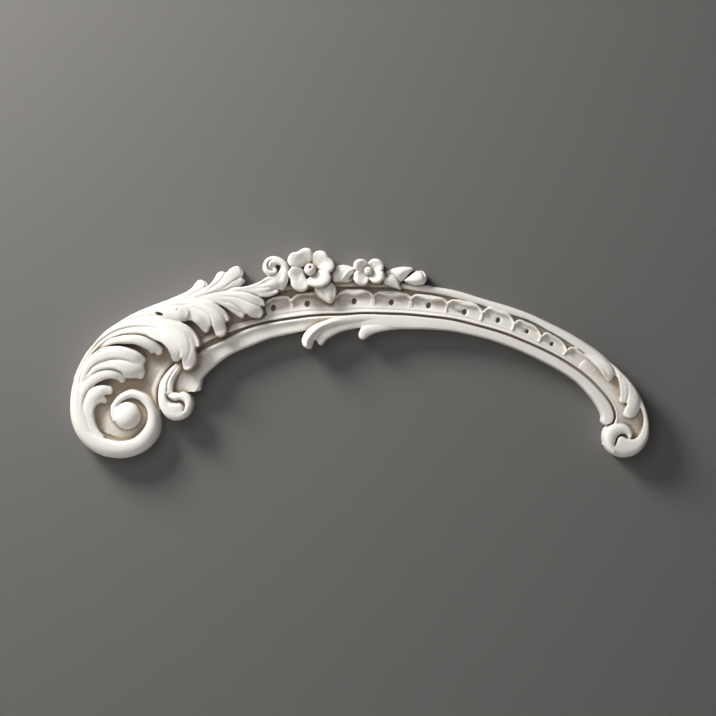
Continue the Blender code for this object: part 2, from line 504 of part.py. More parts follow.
def shift(rail, distance):
    """A rail moved sideways, to its left along its run."""
    rail = np.array(rail, float)
    way = np.gradient(rail, axis=0)
    way /= np.hypot(*way.T)[:, None]
    return rail + np.stack([way[:, 1], -way[:, 0]], axis=1) * distance


def pad(name, outline, height, collection, centre=None, rings=4):
    """A solid over a closed outline; height(points, share from the centre) gives its top."""
    ring = along(outline, closed=True)[:, :2]
    middle = ring.mean(0) if centre is None else np.array(centre, float)
    points, shares = [middle[None, :]], [np.zeros(1)]
    for k in range(1, rings + 1):
        share = math.sin(math.pi / 2 * k / rings)
        points.append(middle + (ring - middle) * share)
        shares.append(np.full(len(ring), share))
    points, shares = np.vstack(points), np.concatenate(shares)
    top = np.column_stack([points, height(points, shares)])
    n = len(ring)
    foot = top[-n:].copy()
    foot[:, 2] = CUT_FOOT
    last, base = len(top) - n, len(top)
    faces = [(0, 1 + k, 1 + (k + 1) % n) for k in range(n)]
    for a in range(rings - 1):
        low, high = 1 + a * n, 1 + (a + 1) * n
        faces += [(low + k, high + k, high + (k + 1) % n, low + (k + 1) % n) for k in range(n)]
    faces += [(last + k, base + k, base + (k + 1) % n, last + (k + 1) % n) for k in range(n)]
    under = len(top) + n
    faces += [(under, base + (k + 1) % n, base + k) for k in range(n)]
    centre_foot = np.array([[middle[0], middle[1], CUT_FOOT]])
    return add_solid(name, np.vstack([top, foot, centre_foot]), faces, collection)


def dome(crest, edge):
    return lambda points, share: edge + (crest - edge) * np.sqrt(np.maximum(1 - share**2, 0))


def level(height):
    return lambda points, share: np.full(len(points), float(height))


def flat(height):
    return [(0.0, height), (1.0, height)]


def gutter(points, share):
    away = np.hypot(points[:, 0] - BALL[0], points[:, 1] - BALL[1]) - BALL[2]
    return GUTTER_LOW + GUTTER_CLIMB * np.clip(1 - away / GUTTER_REACH, 0, 1)


def dish(lip, floor):
    return lambda points, share: floor + (lip - floor) * share**3


def petal_cup(centre, crest):
    """A petal rises from the hollow at the flower's centre to its crest, then falls a little."""

    def height(points, share):
        away = np.hypot(points[:, 0] - centre[0], points[:, 1] - centre[1])
        reach = away / max(away.max(), 1e-6)
        return crest - 7.0 * (1 - np.clip(reach / 0.7, 0, 1)) ** 1.5 - 3.0 * np.clip(share, 0, 1) ** 8

    return height


def circle(x, y, radius, count=20):
    turns = [2 * math.pi * k / count for k in range(count)]
    return [(x + radius * math.cos(a), y + radius * math.sin(a)) for a in turns]


def rounded(low, crest, far, at=0.5, count=7):
    """Heights across a ribbon that swells from low to the crest and falls to far."""
    pairs = []
    for k in range(count):
        v = 0.5 - 0.5 * math.cos(math.pi * k / (count - 1))
        s = (v - at) / (1 - at) if v > at else (at - v) / at
        edge = far if v > at else low
        pairs.append((v, edge + (crest - edge) * math.sqrt(max(1 - s * s, 0))))
    return pairs


def shell(index, cusp_a, top_a, top_b, cusp_b, collection):
    """A shallow shell between two cusps of the band, open towards the rim."""
    a, b = np.array(cusp_a), np.array(cusp_b)
    fillet = along(FILLET, 1.0)
    start = np.argmin(np.hypot(*(fillet - a).T))
    stop = np.argmin(np.hypot(*(fillet - b).T))
    base = fillet[np.linspace(stop, start, 5).astype(int)]
    top_a, top_b = np.array(top_a), np.array(top_b)
    outline = [a, top_a, (top_a + top_b) / 2, top_b, b, *base]
    return pad(f"shell_{index}", outline, dish(14.0, 10.5), collection)


def elements(collection):
    """Every element of the ornament, each a closed solid that reaches behind the back."""
    made = [
        pad("ground", LEFT_GROUND, level(GROUND_LEVEL), collection, rings=2),
        ribbon("mass", LEFT_OUTLINE, LEFT_INNER, MASS_FACE, collection),
        ribbon("great_rim", BIG_RIM_OUTER, BIG_RIM_INNER, rounded(8.0, 19.5, 16.0), collection, RIM_LIFT),
        pad("gutter", circle(*GUTTER), gutter, collection),
        pad("ball", circle(*BALL), dome(25.0, 16.0), collection),
        ribbon("rim", RIM_OUTER, RIM_INNER, rounded(9.0, 15.0, 12.0), collection, END_LIFT),
        ribbon("end_coil", END_COIL_OUTER, END_COIL_INNER, rounded(9.0, 18.5, 15.0), collection),
        ribbon("curl", CURL_OUTER, CURL_INNER, rounded(21.0, 27.5, 24.5), collection),
        ribbon("channel", RIM_INNER, shift(RIM_INNER, -12.0), flat(BAND_LEVEL), collection),
        ribbon("bed", shift(FILLET, 13.0), FILLET, flat(BAND_LEVEL), collection),
        ribbon("fillet", FILLET, shift(GROOVE, 1.6), FILLET_FACE, collection),
        ribbon("groove", shift(GROOVE, 3.0), shift(GROOVE, -3.0), flat(GROOVE_LEVEL), collection),
        ribbon("lower_band", LOWER_TOP, LOWER_EDGE, LOWER_FACE, collection, ROOT_LIFT),
        ribbon("end_ground", END_GROUND_LEFT, END_GROUND_RIGHT, END_GROUND_FACE, collection),
        pad("spur", SPUR, level(SPUR_LEVEL), collection),
        pad("band_start", BAND_START, level(START_LEVEL), collection),
    ]
    for place_of, height in (GREAT_FLOOR, SMALL_FLOOR, END_FLOOR, CURL_FLOOR):
        made.append(pad("floor", circle(*place_of), level(height), collection))
    for name, rows in STRANDS.items():
        made.append(strand(name, rows, collection))
    for index, (cusp_a, top_a, top_b, cusp_b, _) in enumerate(SHELLS):
        made.append(shell(index, cusp_a, top_a, top_b, cusp_b, collection))
    for number, (middle, radius, crest, petal_crest, petals) in enumerate(FLOWERS):
        for k, outline in enumerate(petals):
            made.append(
                pad(f"petal_{number}_{k}", outline, petal_cup(middle, petal_crest), collection)
            )
        made.append(pad(f"button_{number}", circle(*middle, radius), dome(crest, crest - 5), collection))
    for name, (outline, crest, edge) in LEAFLETS.items():
        made.append(pad(name, outline, dome(crest, edge), collection))
    return made


def one_mesh(objects, name, collection):
    """All the elements in one mesh, still crossing each other."""
    shape = bmesh.new()
    for obj in objects:
        shape.from_mesh(obj.data)
    mesh = bpy.data.meshes.new(name)
    shape.to_mesh(mesh)
    shape.free()
    joined = bpy.data.objects.new(name, mesh)
    collection.objects.link(joined)
    return joined


def apply_all(obj):
    """The object's evaluated mesh takes the place of its mesh and modifiers."""
    graph = bpy.context.evaluated_depsgraph_get()
    mesh = bpy.data.meshes.new_from_object(obj.evaluated_get(graph))
    obj.modifiers.clear()
    obj.data = mesh


def keep_largest(obj):
    """Only the outer skin of the casting stays: closed cavities and crumbs go."""
    shape = bmesh.new()
    shape.from_mesh(obj.data)
    shape.verts.ensure_lookup_table()
    seen, groups = set(), []
    for vert in shape.verts:
        if vert.index in seen:
            continue
        seen.add(vert.index)
        group, front = [], [vert]
        while front:
            here = front.pop()
            group.append(here)
            for edge in here.link_edges:
                other = edge.other_vert(here)
                if other.index not in seen:
                    seen.add(other.index)
                    front.append(other)
        groups.append(group)
    groups.sort(key=len)
    for group in groups[:-1]:
        bmesh.ops.delete(shape, geom=group, context="VERTS")
    shape.to_mesh(obj.data)
    shape.free()


def block(name, low, high, collection):
    """A box between two corners, in metres."""
    shape = bmesh.new()
    bmesh.ops.create_cube(shape, size=1.0)
    for vert in shape.verts:
        for axis in range(3):
            middle, size = (low[axis] + high[axis]) / 2, high[axis] - low[axis]
            vert.co[axis] = middle + vert.co[axis] * size
    mesh = bpy.data.meshes.new(name)
    shape.to_mesh(mesh)
    shape.free()
    made = bpy.data.objects.new(name, mesh)
    collection.objects.link(made)
    return made


def drill(name, x, y, radius, low, high, collection):
    """A bit for a drilled hole, along the relief's height."""
    ring = np.array(circle(x, y, radius, HOLE_SIDES))
    points = [(px, py, low) for px, py in ring] + [(px, py, high) for px, py in ring]
    n = HOLE_SIDES
    faces = [tuple(range(n)), tuple(range(n, 2 * n))]
    faces += [(k, (k + 1) % n, n + (k + 1) % n, n + k) for k in range(n)]
    return add_solid(name, points, faces, collection)


def cut(obj, tool):
    modifier = obj.modifiers.new(tool.name, "BOOLEAN")
    modifier.operation = "DIFFERENCE"
    modifier.solver = "EXACT"
    modifier.object = tool
    apply_all(obj)


def plaster():
    material = bpy.data.materials.new("plaster")
    material.use_nodes = True
    shader = material.node_tree.nodes["Principled BSDF"]
    shader.inputs["Base Color"].default_value = PLASTER_COLOUR
    shader.inputs["Roughness"].default_value = 0.75
    return material


def build():
    for obj in list(bpy.data.objects):
        bpy.data.objects.remove(obj, do_unlink=True)
    scene = bpy.context.scene
    product = bpy.data.collections.new("wall_applique")
    cutters = bpy.data.collections.new("cutters")
    scene.collection.children.link(product)
    scene.collection.children.link(cutters)
    cutters.hide_render = True
    parts = elements(cutters)
    casting = one_mesh(parts, "applique", product)
    for obj in parts:
        bpy.data.objects.remove(obj, do_unlink=True)
    cells = casting.modifiers.new("one_casting", "REMESH")
    cells.mode = "VOXEL"
    cells.voxel_size = GRAIN * SCALE
    soften = casting.modifiers.new("soften", "SMOOTH")
    soften.factor = 0.5
    soften.iterations = 2
    apply_all(casting)
    keep_largest(casting)
    fewer = casting.modifiers.new("fewer", "DECIMATE")
    fewer.ratio = TRIANGLES / (2 * len(casting.data.polygons))
    apply_all(casting)
    reach = LENGTH
    back = block("back_cut", (-reach, 0.0, -reach), (reach, reach, reach), cutters)
    cut(casting, back)
    for index, row in enumerate(SHELLS):
        if row[4]:
            x, y, radius = row[4]
            cut(casting, drill(f"hole_{index}", x, y, radius, 5.0, 30.0, cutters))
    for obj in cutters.objects:
        obj.hide_render = True
        obj.display_type = "WIRE"
    casting.data.materials.clear()
    casting.data.materials.append(plaster())
    return casting


build()
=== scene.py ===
"""The plaster applique, carved in full, on its wall.

The tables use a sheet with its origin at the upper left and y running down, one unit to a millimetre.
"""

import math

import bmesh
import bpy
import numpy as np
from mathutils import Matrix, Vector
from mathutils.geometry import delaunay_2d_cdt


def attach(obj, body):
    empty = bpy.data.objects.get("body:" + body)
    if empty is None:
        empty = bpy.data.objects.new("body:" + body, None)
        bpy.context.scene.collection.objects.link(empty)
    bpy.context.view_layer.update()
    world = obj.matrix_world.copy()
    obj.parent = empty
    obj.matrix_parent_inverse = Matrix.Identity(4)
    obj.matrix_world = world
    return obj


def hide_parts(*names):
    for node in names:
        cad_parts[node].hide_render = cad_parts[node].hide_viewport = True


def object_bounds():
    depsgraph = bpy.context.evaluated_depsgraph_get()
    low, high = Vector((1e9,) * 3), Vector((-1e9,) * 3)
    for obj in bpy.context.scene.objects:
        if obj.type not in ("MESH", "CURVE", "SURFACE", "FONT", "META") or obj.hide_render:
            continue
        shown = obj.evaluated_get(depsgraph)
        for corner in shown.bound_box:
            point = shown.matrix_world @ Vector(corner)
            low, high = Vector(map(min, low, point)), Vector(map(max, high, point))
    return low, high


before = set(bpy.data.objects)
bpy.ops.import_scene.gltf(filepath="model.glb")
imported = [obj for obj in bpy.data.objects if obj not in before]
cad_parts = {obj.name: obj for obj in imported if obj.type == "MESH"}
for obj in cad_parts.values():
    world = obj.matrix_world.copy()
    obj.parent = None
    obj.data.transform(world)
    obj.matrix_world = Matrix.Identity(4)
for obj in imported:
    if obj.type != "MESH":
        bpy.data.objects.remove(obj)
cad_box = [list(map(float, corner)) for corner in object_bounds()]

# The sheet's point at the frame's origin, the plain backing under the pattern, and the elements' foot
CENTRE = (358.5, 306.0)
BACKING = 7.0
FOOT = -11.0

# The cells that join the elements, and the most triangles that are left of them
CELL = 0.5
TRIANGLES = 190000

# Steps: points across a strand and in a disc's outline, and places measured at a time
STRAND_ACROSS = 15
DISC_POINTS = 48
NEAREST_BATCH = 4000

# A strand's rise as a share of its half width
STRAND_DOME = 0.75

# Fine carving touches only what stands above the first height, and stops at the next two
CARVED_ABOVE = 7.5
LINE_FLOOR = 6.5
PIT_FLOOR = 5.0

# A carved line is felt this many of its widths away
LINE_REACH = 3.2

# The first five shells are hollowed deeper than the others, and the petals are spread a little
DEEP_SHELLS = 5
DEEP_DISH = 11.0
SHALLOW_DISH = 12.4
PETAL_SPREAD = 1.08

# The maps for the dust and painted shade in the hollows: cell, spare margin, then width around, full depth
# and weight of each scale
MARK_PITCH = 0.7
MARK_MARGIN = 30
DUST_AND_SHADE_SCALES = [(1.4, 1.6, 0.45), (3.2, 4.0, 0.5), (8.5, 8.0, 0.6)]
OUTLINE_BLUR = 1.5
FLANK_WIDTH = 3.0

# Colours, and how strongly the dust and painted shade cover the deepest hollows
PLASTER_DARK = (0.80, 0.775, 0.73, 1)
PLASTER_LIGHT = (0.87, 0.85, 0.812, 1)
DUST_AND_SHADE_COLOUR = (0.33, 0.25, 0.17, 1)
DUST_AND_SHADE_SHARE = 0.85
WALL_PAINT = (0.16, 0.157, 0.153)
FLOOR_PAINT = (0.6, 0.59, 0.58)
SKY = (0.9, 0.93, 1.0, 1)
SKY_STRENGTH = 0.09

# The setting, in metres: the wall starts just behind the flat back and laps under its edge
WALL_AT = 0.0006
WALL_LAP = 0.0012
WALL_LOW = (-2.0, -0.7)
WALL_HIGH = (2.0, 1.5)
FLOOR_HALF = 3
AIM = (0.0, 0.0, -0.05)

# Each lamp's place, size, power and colour
LAMPS = {
    "key": ((-1.0, -0.66, 0.97), 0.6, 33.5, (1.0, 0.985, 0.955)),
    "front": ((-0.5, -1.5, 0.45), 0.9, 5.0, (1.0, 0.985, 0.965)),
    "rear": ((-0.9, 1.5, 0.9), 0.9, 14.0, (1, 1, 1)),
}

# The picture is 0.716 m wide at the casting's middle
LENS = 100.0
SENSOR = 36.0
PICTURE_WIDTH = 0.716
CAMERA_ACROSS = -0.0013
CAMERA_UP = -0.052
MIDDLE_DEPTH = -0.012


# Curves and distances on the sheet


def along(rows, step, closed=False):
    """Rows a step apart on a smooth curve through the given rows."""
    rows = np.array(rows, float)
    if closed:
        rows = np.vstack([rows[-2:], rows, rows[:3]])
    chord = np.hypot(*np.diff(rows[:, :2], axis=0).T)
    knot = np.concatenate([[0.0], np.cumsum(chord)])
    slope = np.gradient(rows, knot, axis=0)
    first, last = (knot[2], knot[-3]) if closed else (0.0, knot[-1])
    count = max(4, int(math.ceil((last - first) / step)) + 1)
    run = np.linspace(first, last, count, endpoint=not closed)
    at = np.clip(np.searchsorted(knot, run, side="right") - 1, 0, len(knot) - 2)
    span = (knot[at + 1] - knot[at])[:, None]
    t = (run - knot[at])[:, None] / span
    return (
        (1 + 2 * t) * (1 - t) ** 2 * rows[at]
        + t * (1 - t) ** 2 * span * slope[at]
        + t * t * (3 - 2 * t) * rows[at + 1]
        + t * t * (t - 1) * span * slope[at + 1]
    )


def nearest(points, line, closed=False):
    """Distance to a polyline, and the row of values at the nearest place on it."""
    start = line if closed else line[:-1]
    end = np.roll(line, -1, axis=0) if closed else line[1:]
    found = np.full(len(points), np.inf)
    value = np.zeros((len(points), line.shape[1]))
    for low in range(0, len(points), NEAREST_BATCH):
        batch = slice(low, low + NEAREST_BATCH)
        p = points[batch, None, :]
        way = (end - start)[None, :, :2]
        t = ((p - start[None, :, :2]) * way).sum(-1) / np.maximum((way**2).sum(-1), 1e-9)
        t = np.clip(t, 0, 1)
        gap = p - (start[None, :, :2] + way * t[:, :, None])
        d = np.hypot(gap[:, :, 0], gap[:, :, 1])
        k = d.argmin(1)
        row = np.arange(len(k))
        found[batch] = d[row, k]
        share = t[row, k][:, None]
        value[batch] = start[k] * (1 - share) + end[k] * share
    return found, value


def inside(points, ring):
    """Which points lie inside a closed ring."""
    result = np.zeros(len(points), bool)
    x, y = points[:, 0], points[:, 1]
    a, b = ring, np.roll(ring, -1, axis=0)
    for (x0, y0), (x1, y1) in zip(a, b):
        if y0 == y1:
            continue
        hit = (y0 > y) != (y1 > y)
        result ^= hit & (x < (x1 - x0) * (y - y0) / (y1 - y0) + x0)
    return result


# Solids


def add_solid(name, points, faces):
    """A closed mesh from sheet points (x, y, height), facing outwards."""
    points = np.asarray(points, float)
    world = np.empty((len(points), 3))
    world[:, 0] = (points[:, 0] - CENTRE[0]) / 1000
    world[:, 1] = -(points[:, 2] + BACKING) / 1000
    world[:, 2] = (CENTRE[1] - points[:, 1]) / 1000
    mesh = bpy.data.meshes.new(name)
    mesh.from_pydata(world.tolist(), [], faces)
    shape = bmesh.new()
    shape.from_mesh(mesh)
    bmesh.ops.recalc_face_normals(shape, faces=shape.faces)
    shape.to_mesh(mesh)
    shape.free()
    return mesh


def plate(name, outline, height, step=0.9):
    """A solid over a closed outline; height(points, distance to the edge) gives its top."""
    ring = along(outline, step, closed=True)[:, :2]
    low, high = ring.min(0), ring.max(0)
    xs = np.arange(low[0], high[0], step)
    ys = np.arange(low[1], high[1], step * 0.866)
    grid = np.array([(x + (k % 2) * step / 2, y) for k, y in enumerate(ys) for x in xs])
    grid = grid[inside(grid, ring)] if len(grid) else grid.reshape(0, 2)
    if len(grid):
        grid = grid[nearest(grid, ring, closed=True)[0] > step * 0.55]
    every = [Vector(p) for p in ring] + [Vector(p) for p in grid]
    n = len(ring)
    edges = [(k, (k + 1) % n) for k in range(n)]
    result = delaunay_2d_cdt(every, edges, [], 0, 1e-5)
    flat = np.array([tuple(v) for v in result[0]])
    tris = np.array([f for f in result[2] if len(f) == 3])
    tris = tris[inside(flat[tris].mean(1), ring)]
    used = np.unique(tris)
    back = np.full(len(flat), -1)
    back[used] = np.arange(len(used))
    flat, tris = flat[used], back[tris]
    edge_distance = nearest(flat, ring, closed=True)[0]
    top = np.column_stack([flat, height(flat, edge_distance)])
    m = len(flat)
    foot = top.copy()
    foot[:, 2] = FOOT
    count = {}
    for tri in tris:
        for a, b in ((tri[0], tri[1]), (tri[1], tri[2]), (tri[2], tri[0])):
            key = (min(a, b), max(a, b))
            count[key] = count.get(key, 0) + 1
    faces = [tuple(map(int, t)) for t in tris]
    faces += [tuple(int(v) + m for v in t[::-1]) for t in tris]
    faces += [
        (int(a), int(b), int(b) + m, int(a) + m) for (a, b), times in count.items() if times == 1
    ]
    return add_solid(name, np.vstack([top, foot]), faces)


def loft(name, top):
    """A solid under a grid of points (x, y, height), with walls down to the foot."""
    n, m, _ = top.shape
    flat = top.reshape(-1, 3)
    foot = flat.copy()
    foot[:, 2] = FOOT
    size = n * m
    faces = []
    for i in range(n - 1):
        for j in range(m - 1):
            a, b, c, d = i * m + j, i * m + j + 1, (i + 1) * m + j + 1, (i + 1) * m + j
            faces.append((a, b, c, d))
            faces.append((a + size, d + size, c + size, b + size))
    rim = (
        [i * m for i in range(n)]
        + [(n - 1) * m + j for j in range(1, m)]
        + [i * m + m - 1 for i in range(n - 2, -1, -1)]
        + list(range(m - 2, 0, -1))
    )
    for k in range(len(rim)):
        a, b = rim[k], rim[(k + 1) % len(rim)]
        faces.append((a, b, b + size, a + size))
    return add_solid(name, np.vstack([flat, foot]), faces)


def strand(name, rows):
    """A rounded finger along rows of (x, y, half width, crest), with rounded ends."""
    rows = along(rows, 1.0)
    middle, half, crest = rows[:, :2], np.maximum(rows[:, 2], 0.4), rows[:, 3]
    way = np.gradient(middle, axis=0)
    way /= np.hypot(*way.T)[:, None]
    side = np.stack([-way[:, 1], way[:, 0]], axis=1)
    run = np.concatenate([[0.0], np.cumsum(np.hypot(*np.diff(middle, axis=0).T))])
    narrow = np.ones(len(rows))
    for distance, reach in ((run, half[0]), (run[-1] - run, half[-1])):
        near = np.clip(1 - distance / reach, 0, 1)
        narrow *= np.sqrt(np.maximum(1 - near**2, 0.03))
    v = np.sin(np.linspace(-math.pi / 2, math.pi / 2, STRAND_ACROSS))
    hump = np.sqrt(np.maximum(1 - v**2, 0))
    top = np.empty((len(rows), STRAND_ACROSS, 3))
    offset = (half * narrow)[:, None] * v
    top[:, :, :2] = middle[:, None, :] + side[:, None, :] * offset[:, :, None]
    rise = (half * STRAND_DOME)[:, None]
    top[:, :, 2] = crest[:, None] - rise + rise * hump * narrow[:, None] - rise * (1 - narrow[:, None])
    return loft(name, top)


def ribbon(name, rail_a, rail_b, profile, across=17, step=1.0):
    """A band between two rails; profile(v, t) is its height."""
    rows = along(np.hstack([np.array(rail_a, float), np.array(rail_b, float)]), step)
    v = 0.5 - 0.5 * np.cos(np.linspace(0, math.pi, across))
    t = np.linspace(0, 1, len(rows))
    top = np.empty((len(rows), across, 3))
    top[:, :, :2] = (
        rows[:, None, :2] * (1 - v)[None, :, None] + rows[:, None, 2:4] * v[None, :, None]
    )
    top[:, :, 2] = profile(v[None, :], t[:, None])
    return loft(name, top)


def shift(rail, distance):
    """A rail moved sideways, to its left along its run."""
    rail = np.array(rail, float)
    way = np.gradient(rail, axis=0)
    way /= np.hypot(*way.T)[:, None]
    return rail + np.stack([way[:, 1], -way[:, 0]], axis=1) * distance


# Heights


def table(pairs):
    """A height profile through (share across, height) pairs, the same all along."""
    xs, ys = zip(*pairs)
    return lambda v, t: np.interp(v, xs, ys)


def rolled(v, low, crest, far, at, power):
    """Heights across a ribbon that swells from low to the crest and falls to far."""
    s = np.where(v > at, (v - at) / (1 - at), (at - v) / at)
    edge = np.where(v > at, far, low)
    return edge + (crest - edge) * np.maximum(1 - s**power, 0) ** (1 / power)


def cushion(reach, edge, drop):
    """How far a surface falls as it rolls over within reach of its edge."""
    near = np.clip(1 - edge / reach, 0, 1)
    return drop * (1 - np.sqrt(np.maximum(1 - near**2, 0)))


def great_rim_height(v, t):
    """The rim starts low along the leaves and grows round the volute."""
    places = [0, 0.07, 0.13, 0.2, 0.3, 0.85, 1]
    crest = np.interp(t, places, [11.5, 14.4, 17.0, 18.6, 19.2, 19.5, 21.0])
    low = np.interp(t, [0, 0.4, 1], [8.0, 8.0, 8.5])
    far = crest - np.interp(t, [0, 0.2, 0.3, 1], [0.8, 0.8, 2.6, 3.4])
    at = np.interp(t, [0, 0.25, 0.38, 0.66, 0.8, 1], [0.5, 0.5, 0.7, 0.66, 0.5, 0.5])
    return rolled(v, low, crest, far, at, 2.2)


def curl_height(v, t):
    """The curl rises out of the long leaf and rolls over."""
    crest = np.interp(t, [0, 0.1, 0.22, 1], [22.0, 25.6, 27.5, 27.5])
    return rolled(v, crest - 6.0, crest, crest - 3.0, 0.5, 2.3)


def end_coil_height(v, t):
    """The end's volute is one even roll, low on the outer side."""
    return rolled(v, 9.0, 18.5, 15.0, 0.5, 2.3)


def level(value):
    """A flat top at one height."""
    return lambda points, edge: np.full(len(points), float(value))


def fingers(spines, dome=0.34, join=0.8, lip=0.0, soft=1.3, soft_drop=1.5):
    """Rounded fingers along spines of (x, y, half width, crest), meeting in creases."""
    lines = [along(rows, 1.0) for rows in spines]

    def height(points, edge):
        every = []
        for line in lines:
            d, row = nearest(points, line)
            half, crest = np.maximum(row[:, 2], 0.5), row[:, 3]
            s = d / half
            drop = half * dome * np.where(s < 1.6, 0.55 * s**2 + 0.25 * s**4, 2.04 + 2.2 * (s - 1.6))
            every.append(crest - drop)
        every = np.array(every)
        most = every.max(0)
        h = most + join * np.log(np.exp((every - most) / join).sum(0))
        h = h - join * 0.35
        h += lip * np.exp(-(((edge - 0.6) / 1.1) ** 2))
        return h - cushion(soft, edge, soft_drop)

    return height


def swell(crest, low):
    """A pillow that rises with the distance from its edge."""

    def height(points, edge):
        s = np.clip(1 - edge / max(edge.max(), 1e-6), 0, 1)
        return low + (crest - low) * np.sqrt(np.maximum(1 - s**2, 0))

    return height


def circle(x, y, radius):
    """The outline of a disc."""
    turns = [2 * math.pi * k / DISC_POINTS for k in range(DISC_POINTS)]
    return [(x + radius * math.cos(a), y + radius * math.sin(a)) for a in turns]


# Outlines and rails on the sheet

LEFT_OUTLINE = [
    (70.1, 406.5), (71.6, 388.7), (75.2, 375.9), (80.3, 363.2), (86.4, 352.4), (94.1, 343.3),
    (100.7, 335.6), (107.7, 329.3), (117.9, 322.7), (130.6, 315), (145.9, 308.1), (161.2, 302.2),
    (170.2, 299.2), (180.4, 295.4), (196, 291.5),
]
LEFT_INNER = [
    (83.5, 406), (84.5, 394), (88, 384), (93, 374), (100, 364), (108, 355), (117, 348.5), (126, 344),
    (135, 341), (145, 339), (155, 338), (166, 336), (176, 331), (186, 323), (198, 312),
]
LEFT_GROUND = [
    (82, 398), (88, 376), (104, 352), (134, 332), (170, 318), (205, 302), (240, 291), (262, 292),
    (268, 300), (262, 312), (236, 325), (208, 338), (198, 356), (186, 372), (178, 388), (160, 404),
    (153, 412), (128, 436), (104, 432), (90, 418),
]
BIG_RIM_OUTER = LEFT_OUTLINE[6::-1] + [
    (70.8, 418), (74.6, 430.5), (84.1, 444.2), (103.3, 455.7), (116, 457.9), (132, 456.3), (147.9, 448),
    (159, 431.8), (159.7, 418), (155.6, 404.7), (149.8, 395.7), (140.3, 390.6), (132, 388.7),
    (124.3, 391.3), (117.3, 396.4), (112.2, 404), (110.9, 412.3), (113, 421),
]
BIG_RIM_INNER = [
    (103.4, 338.2), (98.6, 347), (93, 357.6), (88.4, 369), (86, 381), (86, 393), (86.4, 407), (88, 418),
    (91, 429), (97.5, 434.8), (108, 438.6), (118, 441), (127, 440.2), (136, 436.6), (146, 425.4),
    (148.5, 416.4), (146.8, 408.3), (141.5, 401.5), (136.5, 398.6), (132, 397.7), (126.6, 399),
    (121.2, 402.4), (117.4, 407.5), (116, 413), (118, 420),
]
COIL_WEB = [(112.5, 404), (118.6, 404.6), (122, 408), (120, 418), (122, 427), (116, 423), (112, 414)]

# Discs: x, y and radius
BALL = (127.5, 415.2, 14)
GUTTER = (121, 418, 29)
GREAT_FLOOR = (115, 413, 38)
SMALL_FLOOR = (176, 404, 14)
SMALL_PAD = (176.4, 405, 12.6)
END_FLOOR = (624, 436, 18)
CURL_FLOOR = (275.5, 267.5, 9)

